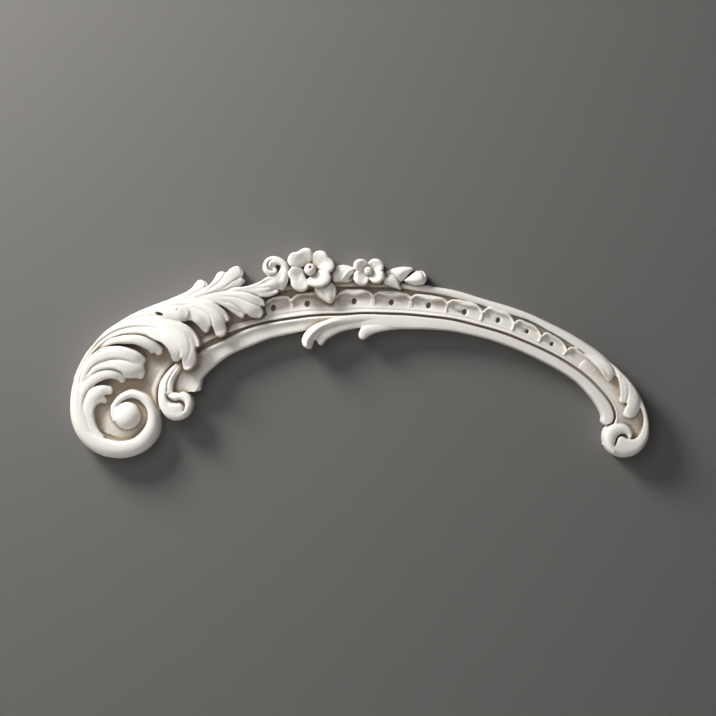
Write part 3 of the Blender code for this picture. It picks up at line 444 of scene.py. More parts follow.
# Leaves and tendrils: outline, spines of (x, y, half width, crest), and options
LEAVES = {
    "leaf_i": (
        [
            (88, 436), (83.6, 426), (82.8, 416), (83.2, 406), (85.5, 397), (88.5, 390.4), (93.6, 387.1),
            (100.7, 385.1), (106.8, 385.1), (112.4, 386.6), (113.2, 390.2), (111.9, 393.3), (104.8, 395.3),
            (106.8, 398.4), (107.3, 400.4), (105.8, 403), (101.7, 402.4), (96.6, 405.5), (94.8, 410),
            (95, 416), (96.4, 423), (100, 430.6), (105, 437), (96, 440),
        ],
        [
            [
                (100, 438, 6, 18), (92.6, 430, 6, 18.4), (89.4, 419, 6, 18.6), (89.6, 406, 5.6, 19.6),
                (94.4, 395.4, 6, 21.4), (102.6, 389.6, 5.4, 21.6), (110.8, 389.8, 3.8, 19),
            ],
            [
                (93.4, 412, 2.6, 18.4), (96.6, 403.8, 3.6, 19), (102, 400.4, 3.4, 18.6),
                (105.8, 401, 2.6, 17),
            ],
        ],
        {},
    ),
    "leaf_h": (
        [
            (77, 408), (79.5, 394), (87, 381), (96, 373), (105.8, 369.3), (116, 369.3), (122.7, 372.3),
            (125.7, 375.9), (124.2, 382), (121.6, 382.8), (119.1, 380.5), (115, 378.5), (108.4, 378.5),
            (100.7, 381.5), (93.6, 386.6), (88, 394), (85, 404), (84, 414), (79, 414),
        ],
        [
            [
                (80.5, 412, 5, 16), (83, 398, 5.4, 18), (91, 383, 6.4, 21.5), (102, 374.4, 6, 23.5),
                (113.5, 372.8, 5.4, 23.5), (120.6, 375.4, 4.8, 21.5), (122.8, 380, 3.4, 18.5),
            ],
        ],
        {},
    ),
    "leaf_g": (
        [
            (77, 398), (77.5, 382), (82.5, 369), (90, 358), (100, 350), (112.8, 346.1), (130.6, 348.2),
            (138.3, 351.2), (144.4, 356.3), (146.2, 359.9), (144.4, 363.5), (145, 373.4), (142, 378.5),
            (136.4, 377.7), (131.3, 378), (126.2, 377.4), (122.7, 372.3), (116, 369.3), (105.8, 369.3),
            (97, 373), (90, 381), (85, 391),
        ],
        [
            [
                (78.5, 394, 4, 15), (81, 378, 5, 18.5), (88.5, 364.5, 6, 22.5), (99.5, 355.5, 6.8, 25.5),
                (114, 352, 6.8, 27), (130, 353.6, 6.6, 26.5), (139.5, 357.4, 5.2, 24),
                (144, 360.4, 3.4, 21),
            ],
            [
                (83, 388, 4.4, 16), (90, 375.5, 5.4, 20.5), (100.5, 367, 6.4, 24), (115, 364.6, 7, 26),
                (129, 366.4, 7.6, 25.5), (138, 369.4, 6.4, 23), (142.4, 374, 4.4, 19.5),
            ],
            [(116, 368, 3, 22), (128, 372.6, 5, 21), (135, 375.6, 3.6, 19.5)],
        ],
        {"dome": 0.28, "join": 1.3},
    ),
    "leaf_j": (
        [
            (92, 358), (100, 347), (110, 339.5), (120.4, 335.9), (130.6, 334.4), (143.4, 334.9), (150, 337),
            (157, 341.6), (163.3, 348.7), (162.8, 352.2), (159.2, 355.3), (156.1, 353.8), (155.1, 352),
            (152, 353.5), (150, 351.2), (143.4, 347.1), (135.7, 344.1), (125.5, 343.8), (114.3, 344.3),
            (104, 349), (96, 358),
        ],
        [
            [
                (95, 356, 3.4, 17), (105, 345.6, 4.4, 21.5), (116, 340, 4.8, 25), (130, 338.6, 5, 28),
                (144, 340.6, 5.2, 28.5), (154, 345.8, 5, 26.5), (160.4, 351.6, 3.4, 23),
            ],
            [(128, 341.6, 2.4, 26), (140, 344, 3, 25.5), (148, 347.4, 3, 24.5), (152.6, 351.6, 2.4, 21.5)],
        ],
        {},
    ),
    "great_leaf": (
        [
            (74.6, 381), (76.6, 372.5), (81, 363.2), (87, 352.9), (94.6, 343.9), (101.2, 336.2),
            (108.2, 329.9), (118.3, 323.3), (130.9, 315.7), (146.2, 308.8), (161.5, 302.9), (170.5, 299.9),
            (181, 297), (196, 296), (205, 303), (203, 313), (192, 317), (183, 322.6), (188, 325.2),
            (193.2, 329.3), (197.8, 334.9), (200.6, 341.5), (201, 343.3), (200.4, 346.5), (196.6, 347.6),
            (197.2, 353.6), (196.6, 361.7), (193.4, 367.1), (188.5, 370.1), (185.2, 369.3), (183.6, 364.4),
            (182.5, 357.9), (178.7, 361.1), (174.4, 361.1), (173.3, 357.9), (171.7, 353.6), (167.9, 347),
            (163.6, 343.3), (156.1, 340), (148.5, 336.4), (143.4, 334.9), (130.6, 334.4), (120.4, 335.9),
            (110, 339.5), (100, 347), (91, 357), (84, 369), (79, 381),
        ],
        [
            [
                (104, 333.6, 3, 12), (120, 323.6, 4, 16), (140, 313.4, 4.6, 20), (158, 306.2, 5, 24),
                (176, 301.4, 5.4, 27), (196, 298.6, 5.6, 28),
            ],
            [
                (90, 352, 3, 12), (102, 338, 4.2, 15.5), (118, 326.5, 4.8, 19.5), (136, 318.4, 4.8, 23.5),
                (152, 314, 5.6, 27), (170, 312.4, 7, 30), (186, 312, 7, 30),
            ],
            [
                (82, 366, 3, 16.6), (92, 350.8, 4.4, 18), (106, 336.8, 5, 20.2), (122, 326.8, 5.2, 23),
                (140, 321.8, 5.6, 27), (158, 322, 6.4, 30), (174, 326.6, 7.4, 32.5), (187, 333, 7.4, 32),
                (197.4, 341.6, 4.4, 28),
            ],
            [
                (79, 378, 3, 17.4), (87, 361.6, 4.2, 18.6), (98, 346.8, 4.8, 20.8), (111, 336.4, 5, 23.5),
                (126, 331, 5, 26.5), (142, 330.4, 5.4, 29), (158, 333.4, 7, 32), (173, 339.4, 8.4, 34.4),
                (184, 347.6, 8.8, 34.4), (189.4, 357, 7, 32), (189.6, 366.4, 4.6, 28),
            ],
            [
                (146, 334.6, 3.4, 28), (158, 338.8, 4.4, 30), (168, 344.6, 5.4, 30.5),
                (175.6, 353, 5, 28.5), (178.8, 359.6, 3.2, 25),
            ],
        ],
        {"lip": 0.6, "dome": 0.28, "join": 1.3},
    ),
    "knob": (
        [
            (140, 312), (150, 308.8), (160, 307), (170.2, 305.9), (183, 305.8), (189, 308.4), (191, 313.4),
            (190.1, 317.4), (187.6, 320.8), (183, 322.2), (176, 322.2), (168, 321.2), (160, 319.2),
            (150, 317.6), (142, 317),
        ],
        [
            [
                (142, 314.4, 3.4, 25.5), (158, 313.2, 6, 30), (172, 313.4, 8, 32.4), (182, 313.8, 8, 33),
                (187, 314.4, 5.6, 32),
            ],
        ],
        {"soft": 2, "soft_drop": 2},
    ),
    "leaf_c": (
        [
            (170, 303), (184, 299), (200, 299), (212, 301.5), (217.1, 304.3), (221.2, 307.3),
            (225.8, 311.4), (228.9, 315.5), (229.9, 319.1), (228.4, 321.4), (226.3, 321.6), (226.8, 330.3),
            (224.3, 335.9), (220.2, 337.2), (216.6, 335.9), (215.1, 331.3), (212, 325.7), (206.4, 333.1),
            (203.4, 331.3), (199.8, 327.2), (195.7, 323.2), (191.6, 320.8), (187.6, 320.9), (180, 314),
        ],
        [
            [
                (176, 303, 4.4, 28), (194, 302, 5.4, 29), (208, 304.4, 6.2, 30), (219, 310, 6, 28.5),
                (227, 318.4, 3.6, 24.5),
            ],
            [
                (178, 306, 4.4, 28.5), (196, 307.6, 6, 30), (209, 312.8, 6.6, 31), (217.6, 321.4, 6.2, 30),
                (221.4, 331, 4.6, 26),
            ],
            [(180, 309.6, 4.4, 29), (192, 313.4, 5.6, 29.5), (201, 320, 5.6, 29), (205.6, 329, 3.4, 25)],
        ],
        {"lip": 0.3, "dome": 0.26, "join": 1.1},
    ),
    "leaf_d": (
        [
            (192, 299), (210, 294.6), (235, 291.5), (253.4, 294.9), (259, 297.4), (263.6, 300.5),
            (264.8, 304.1), (264.1, 306.6), (260.5, 306.1), (262.6, 310.2), (263.1, 313.3), (260, 317.9),
            (255.9, 318.1), (249.8, 316.3), (245.7, 313.8), (242.7, 318.6), (240.1, 317.9), (235.5, 314.8),
            (230.4, 311.2), (225.3, 307.7), (217.7, 304.1), (205, 302),
        ],
        [
            [
                (200, 297.6, 4.6, 28), (222, 295.4, 5.2, 28.5), (240, 296, 5.4, 28),
                (253, 299.4, 5.2, 26.5), (262.4, 304.4, 3.4, 23),
            ],
            [
                (204, 299, 4, 28), (224, 299.8, 5.2, 28.5), (241, 304, 5.6, 28), (253, 310, 5.4, 26.5),
                (259.6, 315.2, 3.6, 23),
            ],
            [
                (206, 300.4, 3.4, 27.5), (222, 303.4, 4.2, 27.5), (234, 309.6, 4.4, 26),
                (241.4, 316.6, 3, 23),
            ],
        ],
        {"lip": 0.3, "dome": 0.26, "join": 1.1},
    ),
    "leaf_long": (
        [
            (190, 297), (215, 290.4), (237, 287.8), (245.7, 287), (253.4, 284.7), (261, 281.6),
            (267.1, 277.6), (273.8, 276.3), (279, 272), (282, 266), (288.6, 267.4), (288.4, 272.4),
            (287.6, 277.6), (285.5, 282.7), (277.9, 289.8), (278.4, 291.3), (273.3, 295.4), (266.1, 297.4),
            (258.5, 296.7), (253.4, 294.9), (235, 294.4), (210, 299),
        ],
        [
            [
                (196, 296.8, 4.4, 28), (222, 291.8, 5, 27.5), (244, 289.6, 4.6, 26),
                (260, 286.4, 5.4, 25.5), (272, 281.4, 6, 25.5), (281, 275.4, 5.2, 26),
                (285.4, 268.4, 3.6, 26.5),
            ],
            [(236, 291.4, 3.4, 26), (252, 291, 4.4, 25), (264, 291.4, 5.6, 24.5), (274, 291, 4.2, 22)],
        ],
        {"lip": 0.4, "dome": 0.2, "join": 1.5},
    ),
    "spray": (
        [
            (168, 301), (180.4, 295.4), (188.6, 291.5), (193.2, 288), (196.7, 282.9), (200.3, 280.3),
            (204.4, 281.3), (206.2, 283.9), (205.4, 288.2), (211, 284.4), (215.1, 278.8), (218.7, 273.2),
            (222.8, 271.9), (225.8, 273.2), (231.9, 268.4), (239.6, 267.1), (241.9, 273), (240.6, 277.6),
            (243.7, 280.1), (241.6, 283.7), (237, 287.8), (225, 293.6), (205, 299.4), (185, 304),
        ],
        [
            [(172, 301, 3.4, 24), (186, 295.4, 4, 26), (195.6, 289.6, 4.6, 26), (202, 283.6, 3.8, 24)],
            [(190, 298.4, 4, 27), (204, 291.6, 4.8, 27.5), (214, 284, 5, 26.5), (222, 275, 4, 24)],
            [(196, 298, 4, 27.5), (214, 290.4, 5.2, 28), (227, 280.6, 6, 27), (237.4, 270.6, 4.6, 24.5)],
            [(204, 297, 4, 27.5), (222, 290.4, 4.6, 27.5), (233, 284.6, 4.4, 26), (241.4, 280.4, 3, 23.5)],
        ],
        {"lip": 0.4, "dome": 0.2, "join": 1.5},
    ),
    "tendril_1": (
        [
            (380, 315.6), (368, 314.4), (358.1, 314.5), (344.1, 316.2), (330.1, 319), (319.6, 322.5),
            (309, 328.1), (303.4, 334.5), (301.3, 340.1), (302.7, 345.7), (307.6, 348.8), (310.4, 348.5),
            (311.8, 345), (313.9, 340.1), (315.3, 339.4), (316.7, 341.5), (318.1, 344.3), (321, 345.3),
            (323.1, 342.9), (325.9, 339.4), (331.5, 335.9), (339.9, 331.7), (351.1, 328.9), (360.9, 327.1),
            (374, 324), (384, 319),
        ],
        [
            [
                (378, 317, 2.6, 14.5), (360, 317.4, 3.4, 16), (344, 319, 4, 18), (328, 322.8, 4.6, 20),
                (316, 328.2, 5, 21), (308.4, 335, 5, 21), (306, 343.6, 4.4, 19.5),
            ],
            [
                (372, 321, 3.4, 13), (354, 323.6, 4.8, 14.6), (338, 328, 6, 16.4), (325, 333.4, 6.4, 18),
                (319.6, 341.4, 3.8, 16.5),
            ],
        ],
        {},
    ),
    "tendril_2": (
        [
            (414, 325.6), (406, 324), (394, 323.2), (382.7, 323.6), (368.7, 325), (360.9, 326.7),
            (359.5, 329.6), (357.8, 334.5), (358.8, 338), (362.3, 339.7), (365.2, 338), (369.4, 335.2),
            (379.2, 331.7), (389.7, 329.9), (403, 328.4), (414, 326.8),
        ],
        [
            [
                (412, 326.4, 1.2, 10.6), (402, 326.6, 2.4, 12.6), (384, 327.2, 4, 14.4),
                (371, 329.4, 4.8, 15.8), (363.4, 332.4, 4.8, 16.8), (361.4, 336.4, 3.8, 15.8),
            ],
        ],
        {},
    ),
    "leaf_r_1": (
        [
            (582, 351), (590, 353), (599, 357), (605, 361.4), (609.5, 365.4), (611.8, 372.5),
            (610.4, 378.5), (607.3, 381.7), (602.8, 377), (597.5, 369.8), (592, 364), (586, 358.4),
        ],
        [
            [
                (586, 354.6, 4.6, 15.5), (596, 360.6, 6, 18), (603.4, 367.6, 6.4, 19.6),
                (607.4, 374.4, 5.2, 19.2), (607.6, 380, 3, 17),
            ],
            [
                (590, 360.4, 3.4, 15.5), (597, 366, 3.8, 17.4), (602.6, 373.6, 3.4, 17.6),
                (606.2, 380, 2.4, 16.4),
            ],
        ],
        {"join": 1.3, "dome": 0.3},
    ),
    "leaf_r_2": (
        [
            (604, 360), (611.8, 369.6), (615.5, 377.6), (617.8, 386), (618.5, 395), (617.8, 401),
            (620, 402.8), (625.3, 403.3), (624.5, 405.5), (622.3, 410), (621.5, 413.8), (623.8, 416.8),
            (628.3, 418), (632.8, 416), (635.8, 412.3), (638, 407), (638.5, 400), (635, 392), (629, 383),
            (621, 374), (613, 366),
        ],
        [
            [
                (607, 363, 4.4, 16), (615.6, 372.4, 5.4, 18.5), (620.8, 382, 6, 20),
                (622.6, 392, 5.4, 19.5), (620.6, 401, 3.2, 17),
            ],
            [
                (611, 365.6, 4.4, 16.8), (620.6, 376, 6, 19.2), (627.4, 386, 6.4, 20.6),
                (630.4, 396, 6.4, 20.6), (629.4, 407, 5.8, 20), (627, 414.6, 4.4, 17.5),
            ],
        ],
        {"join": 1.3, "dome": 0.3},
    ),
}

# Rounded strands: rows of (x, y, half width, crest)
STRANDS = {
    "small_stem": [
        (186, 357, 2.4, 13), (178.6, 366, 4.2, 16), (171, 375, 5.6, 18), (166.4, 385, 7, 19.5),
        (164.4, 396, 6.2, 20), (166.4, 406, 6.2, 20), (172.6, 413, 6.4, 20), (180.6, 413.4, 6, 20),
        (186.8, 407, 5, 20), (188.4, 399.8, 3.8, 19.8), (184.6, 395.4, 3.4, 19.4), (179.6, 394, 2.6, 18.6),
    ],
    "small_toe": [
        (173.6, 374, 2.6, 16), (170, 384, 3.6, 18.6), (170.6, 392, 3, 18.6), (174.6, 395.6, 2, 17.6),
    ],
    "inner_fillet": [
        (170, 361.6, 2, 9.5), (163.2, 370, 2.6, 11), (157.6, 380, 2.8, 12), (154.6, 389, 2.8, 12),
        (155.4, 400, 2.4, 11.5), (158.6, 410, 1.8, 11),
    ],
    "curl_hook": [
        (279.4, 262, 2.4, 26), (275, 262.8, 2.6, 26), (272.8, 266, 2.6, 25.6), (274, 269.6, 2.4, 25),
        (277, 272.4, 2.2, 24),
    ],
    "flower_1_stem": [(290, 287, 4, 15), (310, 284, 5, 15), (334, 283, 4.4, 15)],
}

CURL_OUTER = [
    (283, 291), (287.4, 283), (289, 275), (288.4, 269), (286.5, 263.8), (281.4, 259), (274.3, 256.7),
    (266.6, 259), (262.8, 265.6), (263.2, 271.6), (267.2, 275.6), (271.4, 276.6), (275.4, 275.2),
    (277.2, 272),
]
CURL_INNER = [
    (272, 287), (278.6, 280.4), (282, 274.4), (282.2, 270.4), (281.2, 267.4), (278.6, 265.8),
    (275.6, 265.6), (273, 266.2), (271.8, 267.4), (271.8, 268.6), (272.6, 269.4), (273.6, 269.6),
    (274.6, 269.4), (275.4, 269.2),
]
RIM_OUTER = [
    (270, 287.6), (281, 285.2), (292, 283.4), (315, 281.6), (338, 281), (366, 281), (398.8, 282.6),
    (417.9, 284.5), (437.8, 287.3), (450.5, 289.6), (463.3, 292.8), (476, 296.9), (488.8, 300.7),
    (510, 307), (529.1, 314), (548.3, 322.9), (567.4, 332.5), (586.5, 344), (599.3, 352.9), (609.1, 361.8),
    (619.8, 371.8), (629, 380.6), (635.9, 390.9), (642, 403.2), (645.8, 415.4), (647.2, 427.7),
    (646.2, 438.4), (641.2, 447.5), (633.6, 454.4), (624.4, 457.1), (615, 456.2), (609, 452.8),
    (606.4, 450),
]
RIM_INNER = [
    (270, 294), (281, 291.6), (292, 289.6), (315, 287.8), (338, 287.2), (366, 287.2), (398.8, 288.5),
    (417.9, 291.1), (436, 293.8), (448.5, 296.4), (461.3, 299.8), (474, 303.3), (486.4, 307.2), (507, 314),
    (525.9, 319.6), (544.6, 329.4), (563, 339.8), (581.6, 352), (594, 360.4), (603.6, 367.4),
    (613.6, 375.6), (622.4, 384.6), (629.4, 393.6), (636.4, 404), (640.6, 413), (641.6, 422),
    (639.6, 430.6), (635.6, 436.4), (630.6, 438.9), (624.6, 438.2), (618.8, 436.2), (615.4, 440),
    (614.2, 447),
]
END_COIL_OUTER = [
    (609.6, 453.4), (605.4, 449), (602.6, 442.4), (601.8, 436.1), (603.7, 428.8), (608.4, 424.4),
    (615.5, 422.4), (623, 423.5), (628.3, 427.2), (630.5, 431.6), (629.9, 435.6),
]
END_COIL_INNER = [
    (614.6, 451), (613.4, 447.6), (612.8, 443), (613.6, 438.8), (615.8, 435.2), (619, 433.4), (622, 433.2),
    (624, 434.2), (625.4, 435.6), (626, 437), (627.4, 438.2),
]
GROOVE = [
    (190, 350), (202.3, 345), (221.2, 336.5), (240, 330), (252.8, 325.8), (265.5, 322.6), (278.3, 320.4),
    (291, 318.5), (307, 316.3), (322.9, 315), (340, 314.6), (365, 313.4), (386, 313.8), (405, 314.5),
    (425, 316.4), (450.5, 319.5), (476, 325.6), (501.5, 332.9), (529.1, 344), (548.3, 352.9),
    (567.4, 363.8), (586.5, 377.8), (599.3, 390.6), (606, 398.6), (610.6, 406.2), (612.9, 413.9),
    (612.4, 421.5), (608, 427),
]
FILLET = [
    (188, 344), (200.8, 337.5), (218, 330.4), (238, 323), (251.6, 320), (264.6, 315.8), (277.6, 313.8),
    (290.6, 311.8), (306.8, 309.9), (322.9, 309.2), (340, 308.5), (366, 308.1), (387, 308.6),
    (406.6, 309.6), (427, 311.6), (453, 314.8), (479.2, 320.8), (504.6, 328.6), (532.6, 340),
    (552.6, 349.6), (572, 361), (591.6, 374.6), (605, 386.6), (612.6, 395), (617, 403), (619, 412),
    (619, 420), (614, 426),
]
LOWER_TOP = [
    (175.6, 392), (176, 384), (179.6, 373.4), (185.6, 363), (194.6, 354.2), (207.6, 347.6), (221.6, 341.2),
    (240.5, 331.8), (253.2, 327), (265.8, 323.9), (278.5, 321.6), (291.2, 319.7), (307.1, 317.5),
    (322.9, 316.2), (340, 315.8), (365, 314.6), (386, 315), (405, 315.7), (425, 317.6), (450.3, 320.7),
    (475.7, 326.8), (501.1, 334.1), (528.6, 345.1), (547.8, 354), (566.8, 364.9), (585.7, 378.8),
    (598.4, 391.4), (605.1, 399.3), (609.5, 406.6), (611.7, 413.9), (611.4, 419.5), (609.5, 422.8),
]
LOWER_EDGE = [
    (196, 391.6), (199.9, 386), (201.5, 379), (206.2, 373), (212.8, 366.9), (221, 360.2), (230, 354.3),
    (243, 348.4), (254, 344), (267, 338.8), (280, 335.6), (293, 332.8), (309, 329.4), (325, 327.6),
    (342, 327.2), (366, 327.4), (386, 328.4), (405, 328.9), (425, 329.1), (449, 330.9), (472.6, 335.4),
    (497, 342.2), (522.6, 352.2), (540.6, 360.8), (558.6, 370.6), (576, 382.4), (586.6, 393.4),
    (592.2, 400.1), (597.6, 408.5), (600.9, 416.4), (600.6, 421.6), (603, 424.8),
]
SPUR = [
    (180, 392), (181, 384), (186, 378), (196, 378), (200.6, 381), (199.9, 385.5), (199.6, 389.9),
    (196.1, 391), (192.3, 389.7), (188.5, 388.3), (186, 392),
]

# Heights across a ribbon: share of its width, then height
MASS_FACE = [(0, 6), (0.05, 9), (0.2, 13), (0.6, 18), (0.9, 19), (1, 17)]
BED_FACE = [(0, 9), (1, 9)]
GROOVE_FACE = [(0, 8), (1, 8)]
FILLET_FACE = [(0, 12.2), (0.3, 12.6), (0.62, 13.6), (0.84, 14.4), (0.94, 14.2), (1, 12.6)]

BAND_START = [(255, 296), (268, 287), (280, 278), (300, 279), (300, 310), (270, 318), (255, 316)]

END_GROUND = [
    (578, 366), (586, 359), (598, 362), (612, 374), (626, 390), (637, 406), (641.5, 418), (640, 430),
    (632, 434), (624, 427), (616, 424.6), (612.6, 424), (614.4, 418), (614.6, 412), (612.4, 404.6),
    (607.6, 397.2), (600.8, 389.4), (588, 376.6),
]
# The shell work: cusp, two points along the top, cusp, sag of the lip, and the drilled hole, if any
SHELLS = [
    ((266.5, 301), (278.3, 296.2), (285.6, 296), (290.7, 299.7), 0.4, (273, 308, 2.4)),
    ((290.7, 299.7), (300.6, 292.8), (322, 291), (334.6, 296.5), 1.2, (306.8, 303.8, 2.3)),
    ((334.6, 296.5), (344.6, 289.8), (363.7, 289.8), (372.6, 294.6), 3.6, (353.5, 301.4, 2.3)),
    ((372.6, 294.6), (380.9, 291.2), (400, 292), (410.3, 297.2), 3.4, (390.6, 302.4, 2.2)),
    ((410.3, 297.2), (417.9, 294.3), (436, 296.4), (447, 302), 3.2, (427.7, 305.6, 2.2)),
    ((447, 302.4), (454, 299.4), (473, 303.4), (481.8, 311.4), 2.6, (463.4, 312.1, 2.2)),
    ((481.8, 311.4), (488.4, 307.2), (505.6, 312.4), (513.4, 322.4), 1.8, (496.9, 320.2, 2)),
    ((513.4, 322.4), (518.4, 319.6), (533.6, 326), (540.2, 335.4), 1.2, (525.8, 331.4, 1.6)),
    ((540.2, 335.4), (545.6, 332.4), (558.8, 339.4), (565.6, 349.2), 0.8, (550.6, 344, 1.5)),
    ((565.6, 349.2), (571.4, 346.8), (586, 356.2), (597, 366), 0.5, None),
]

# Flowers: centre, button radius, button crest, petal crest and the petals' outlines
FLOWERS = [
    (
        (309.8, 270.2), 5.9, 31.5, 29,
        [
            [
                (309.3, 265), (301.3, 267), (295.3, 267.2), (289.8, 265.2), (287.8, 261), (288.8, 257),
                (292.3, 253.5), (297.3, 252.7), (301.3, 250), (305.3, 249), (309.8, 250.5), (311.8, 255),
                (311.9, 261),
            ],
            [
                (312.3, 266), (312.3, 260), (313.8, 255), (317.3, 252.5), (322.3, 252), (326.3, 254.3),
                (328.3, 258), (331.8, 260.5), (333.9, 265), (332.9, 269.2), (330, 272), (324.3, 270.6),
                (316.3, 269),
            ],
            [
                (312, 275), (315.6, 271.8), (321.3, 270.8), (326.3, 272), (329.9, 276), (329.9, 281.2),
                (326.3, 285.2), (320.3, 287.6), (313.3, 287.2), (309, 285.2), (307.8, 281.6),
            ],
            [
                (303.6, 271.4), (304.6, 276), (307.4, 283), (307.3, 287), (304.3, 290.6), (299.3, 291.7),
                (294.3, 290), (291.3, 286), (290.5, 280.4), (288.4, 276), (289, 272.4), (291.6, 269.2),
                (295.6, 267.6), (300, 268.6),
            ],
        ],
    ),
    (
        (367.4, 271.6), 4.3, 29, 27,
        [
            [
                (366.4, 270), (359, 272), (353.6, 269), (353, 263.6), (357, 260.2), (363, 260.4),
                (367.2, 264),
            ],
            [
                (368.4, 270), (368, 263.6), (372, 260), (378.4, 260.4), (382.6, 264.6), (381.6, 270.6),
                (375.6, 272.6),
            ],
            [
                (369, 272.6), (376, 271.6), (382.4, 273), (383.4, 278.6), (379.4, 282.8), (373, 283),
                (368.6, 278.6),
            ],
            [
                (366, 273), (367.6, 279.4), (364.6, 285), (358, 285.4), (353.4, 281), (353, 275.4),
                (358.4, 271.4),
            ],
        ],
    ),
]

# Small leaves round the flowers: outline, crest and height at the edge
LEAFLETS = {
    "leaflet_0": (
        [
            (313.6, 287.6), (322, 285), (330.8, 282.6), (335.9, 290.6), (334.4, 298), (330.2, 303.3),
            (323, 300.4), (317, 295.8),
        ],
        24, 19,
    ),
    "leaflet_1": (
        [
            (330.6, 274), (335.5, 267), (341.1, 265.3), (349.6, 266.7), (355.9, 271.9), (354.5, 278),
            (348, 282.6), (340.4, 282.6), (333, 282.4),
        ],
        24, 18,
    ),
    "leaflet_2": (
        [
            (384, 273.6), (391, 269.4), (398.7, 267.4), (406, 267.2), (412, 268.8), (407.8, 274.4),
            (400.8, 281.8), (392, 284.6), (385, 281.6),
        ],
        22, 17,
    ),
    "leaflet_3": (
        [
            (383.2, 276), (386.7, 273.6), (392.3, 275.4), (397.6, 280.6), (399, 285.6), (399.8, 290),
            (395.6, 288.6), (389.6, 286.6), (383.2, 283.6),
        ],
        23.5, 18,
    ),
    "bud": (
        [
            (402.9, 281.1), (409, 275.6), (416.2, 271.2), (423.2, 272.2), (426, 277.6), (423.2, 283.8),
            (416, 285.6), (408, 284.2),
        ],
        23, 16,
    ),
}

# Drilled and pierced places: x, y, half length, half width, turn in degrees, depth
PITS = [
    (161, 314.3, 3.6, 1.5, 16, 8), (178.9, 310.2, 0.9, 0.9, 0, 1.2), (310.1, 268.2, 1.5, 1.5, 0, 4),
    (367.4, 271.4, 0.8, 0.8, 0, 1.5),
]
PITS += [(x, y, r, r * 1.3, 8, 6) for x, y, r in (row[5] for row in SHELLS if row[5])]

# Broad soft dents: x, y, half length, half width, turn in degrees, depth
DENTS = [
    (299, 259.6, 6, 3.4, -20, 0.6), (321.4, 262, 5, 4, 30, 0.7), (318.6, 279, 5.4, 3.2, 10, 0.6),
    (298.4, 279.4, 3.4, 5.6, 10, 0.8), (360.4, 266.6, 3.4, 2.4, 20, 0.4), (375, 265.8, 3.4, 2.4, -20, 0.4),
    (376, 277.4, 3, 2.4, 30, 0.4), (360.6, 278.6, 3, 2.6, -30, 0.4), (351, 277.6, 5, 2.6, -48, 6),
    (402, 275.6, 6, 2.2, -44, 0.8), (386.4, 276.4, 2.6, 1.8, 20, 3), (394.6, 284.6, 4.6, 1.8, 48, 0.8),
    (325, 291.6, 3, 6.4, 20, 0.5), (412.6, 278.6, 5, 2, -16, 0.8), (276.6, 289, 7, 2.4, -28, 1.2),
    (265, 283.4, 8, 2, -24, 1),
]

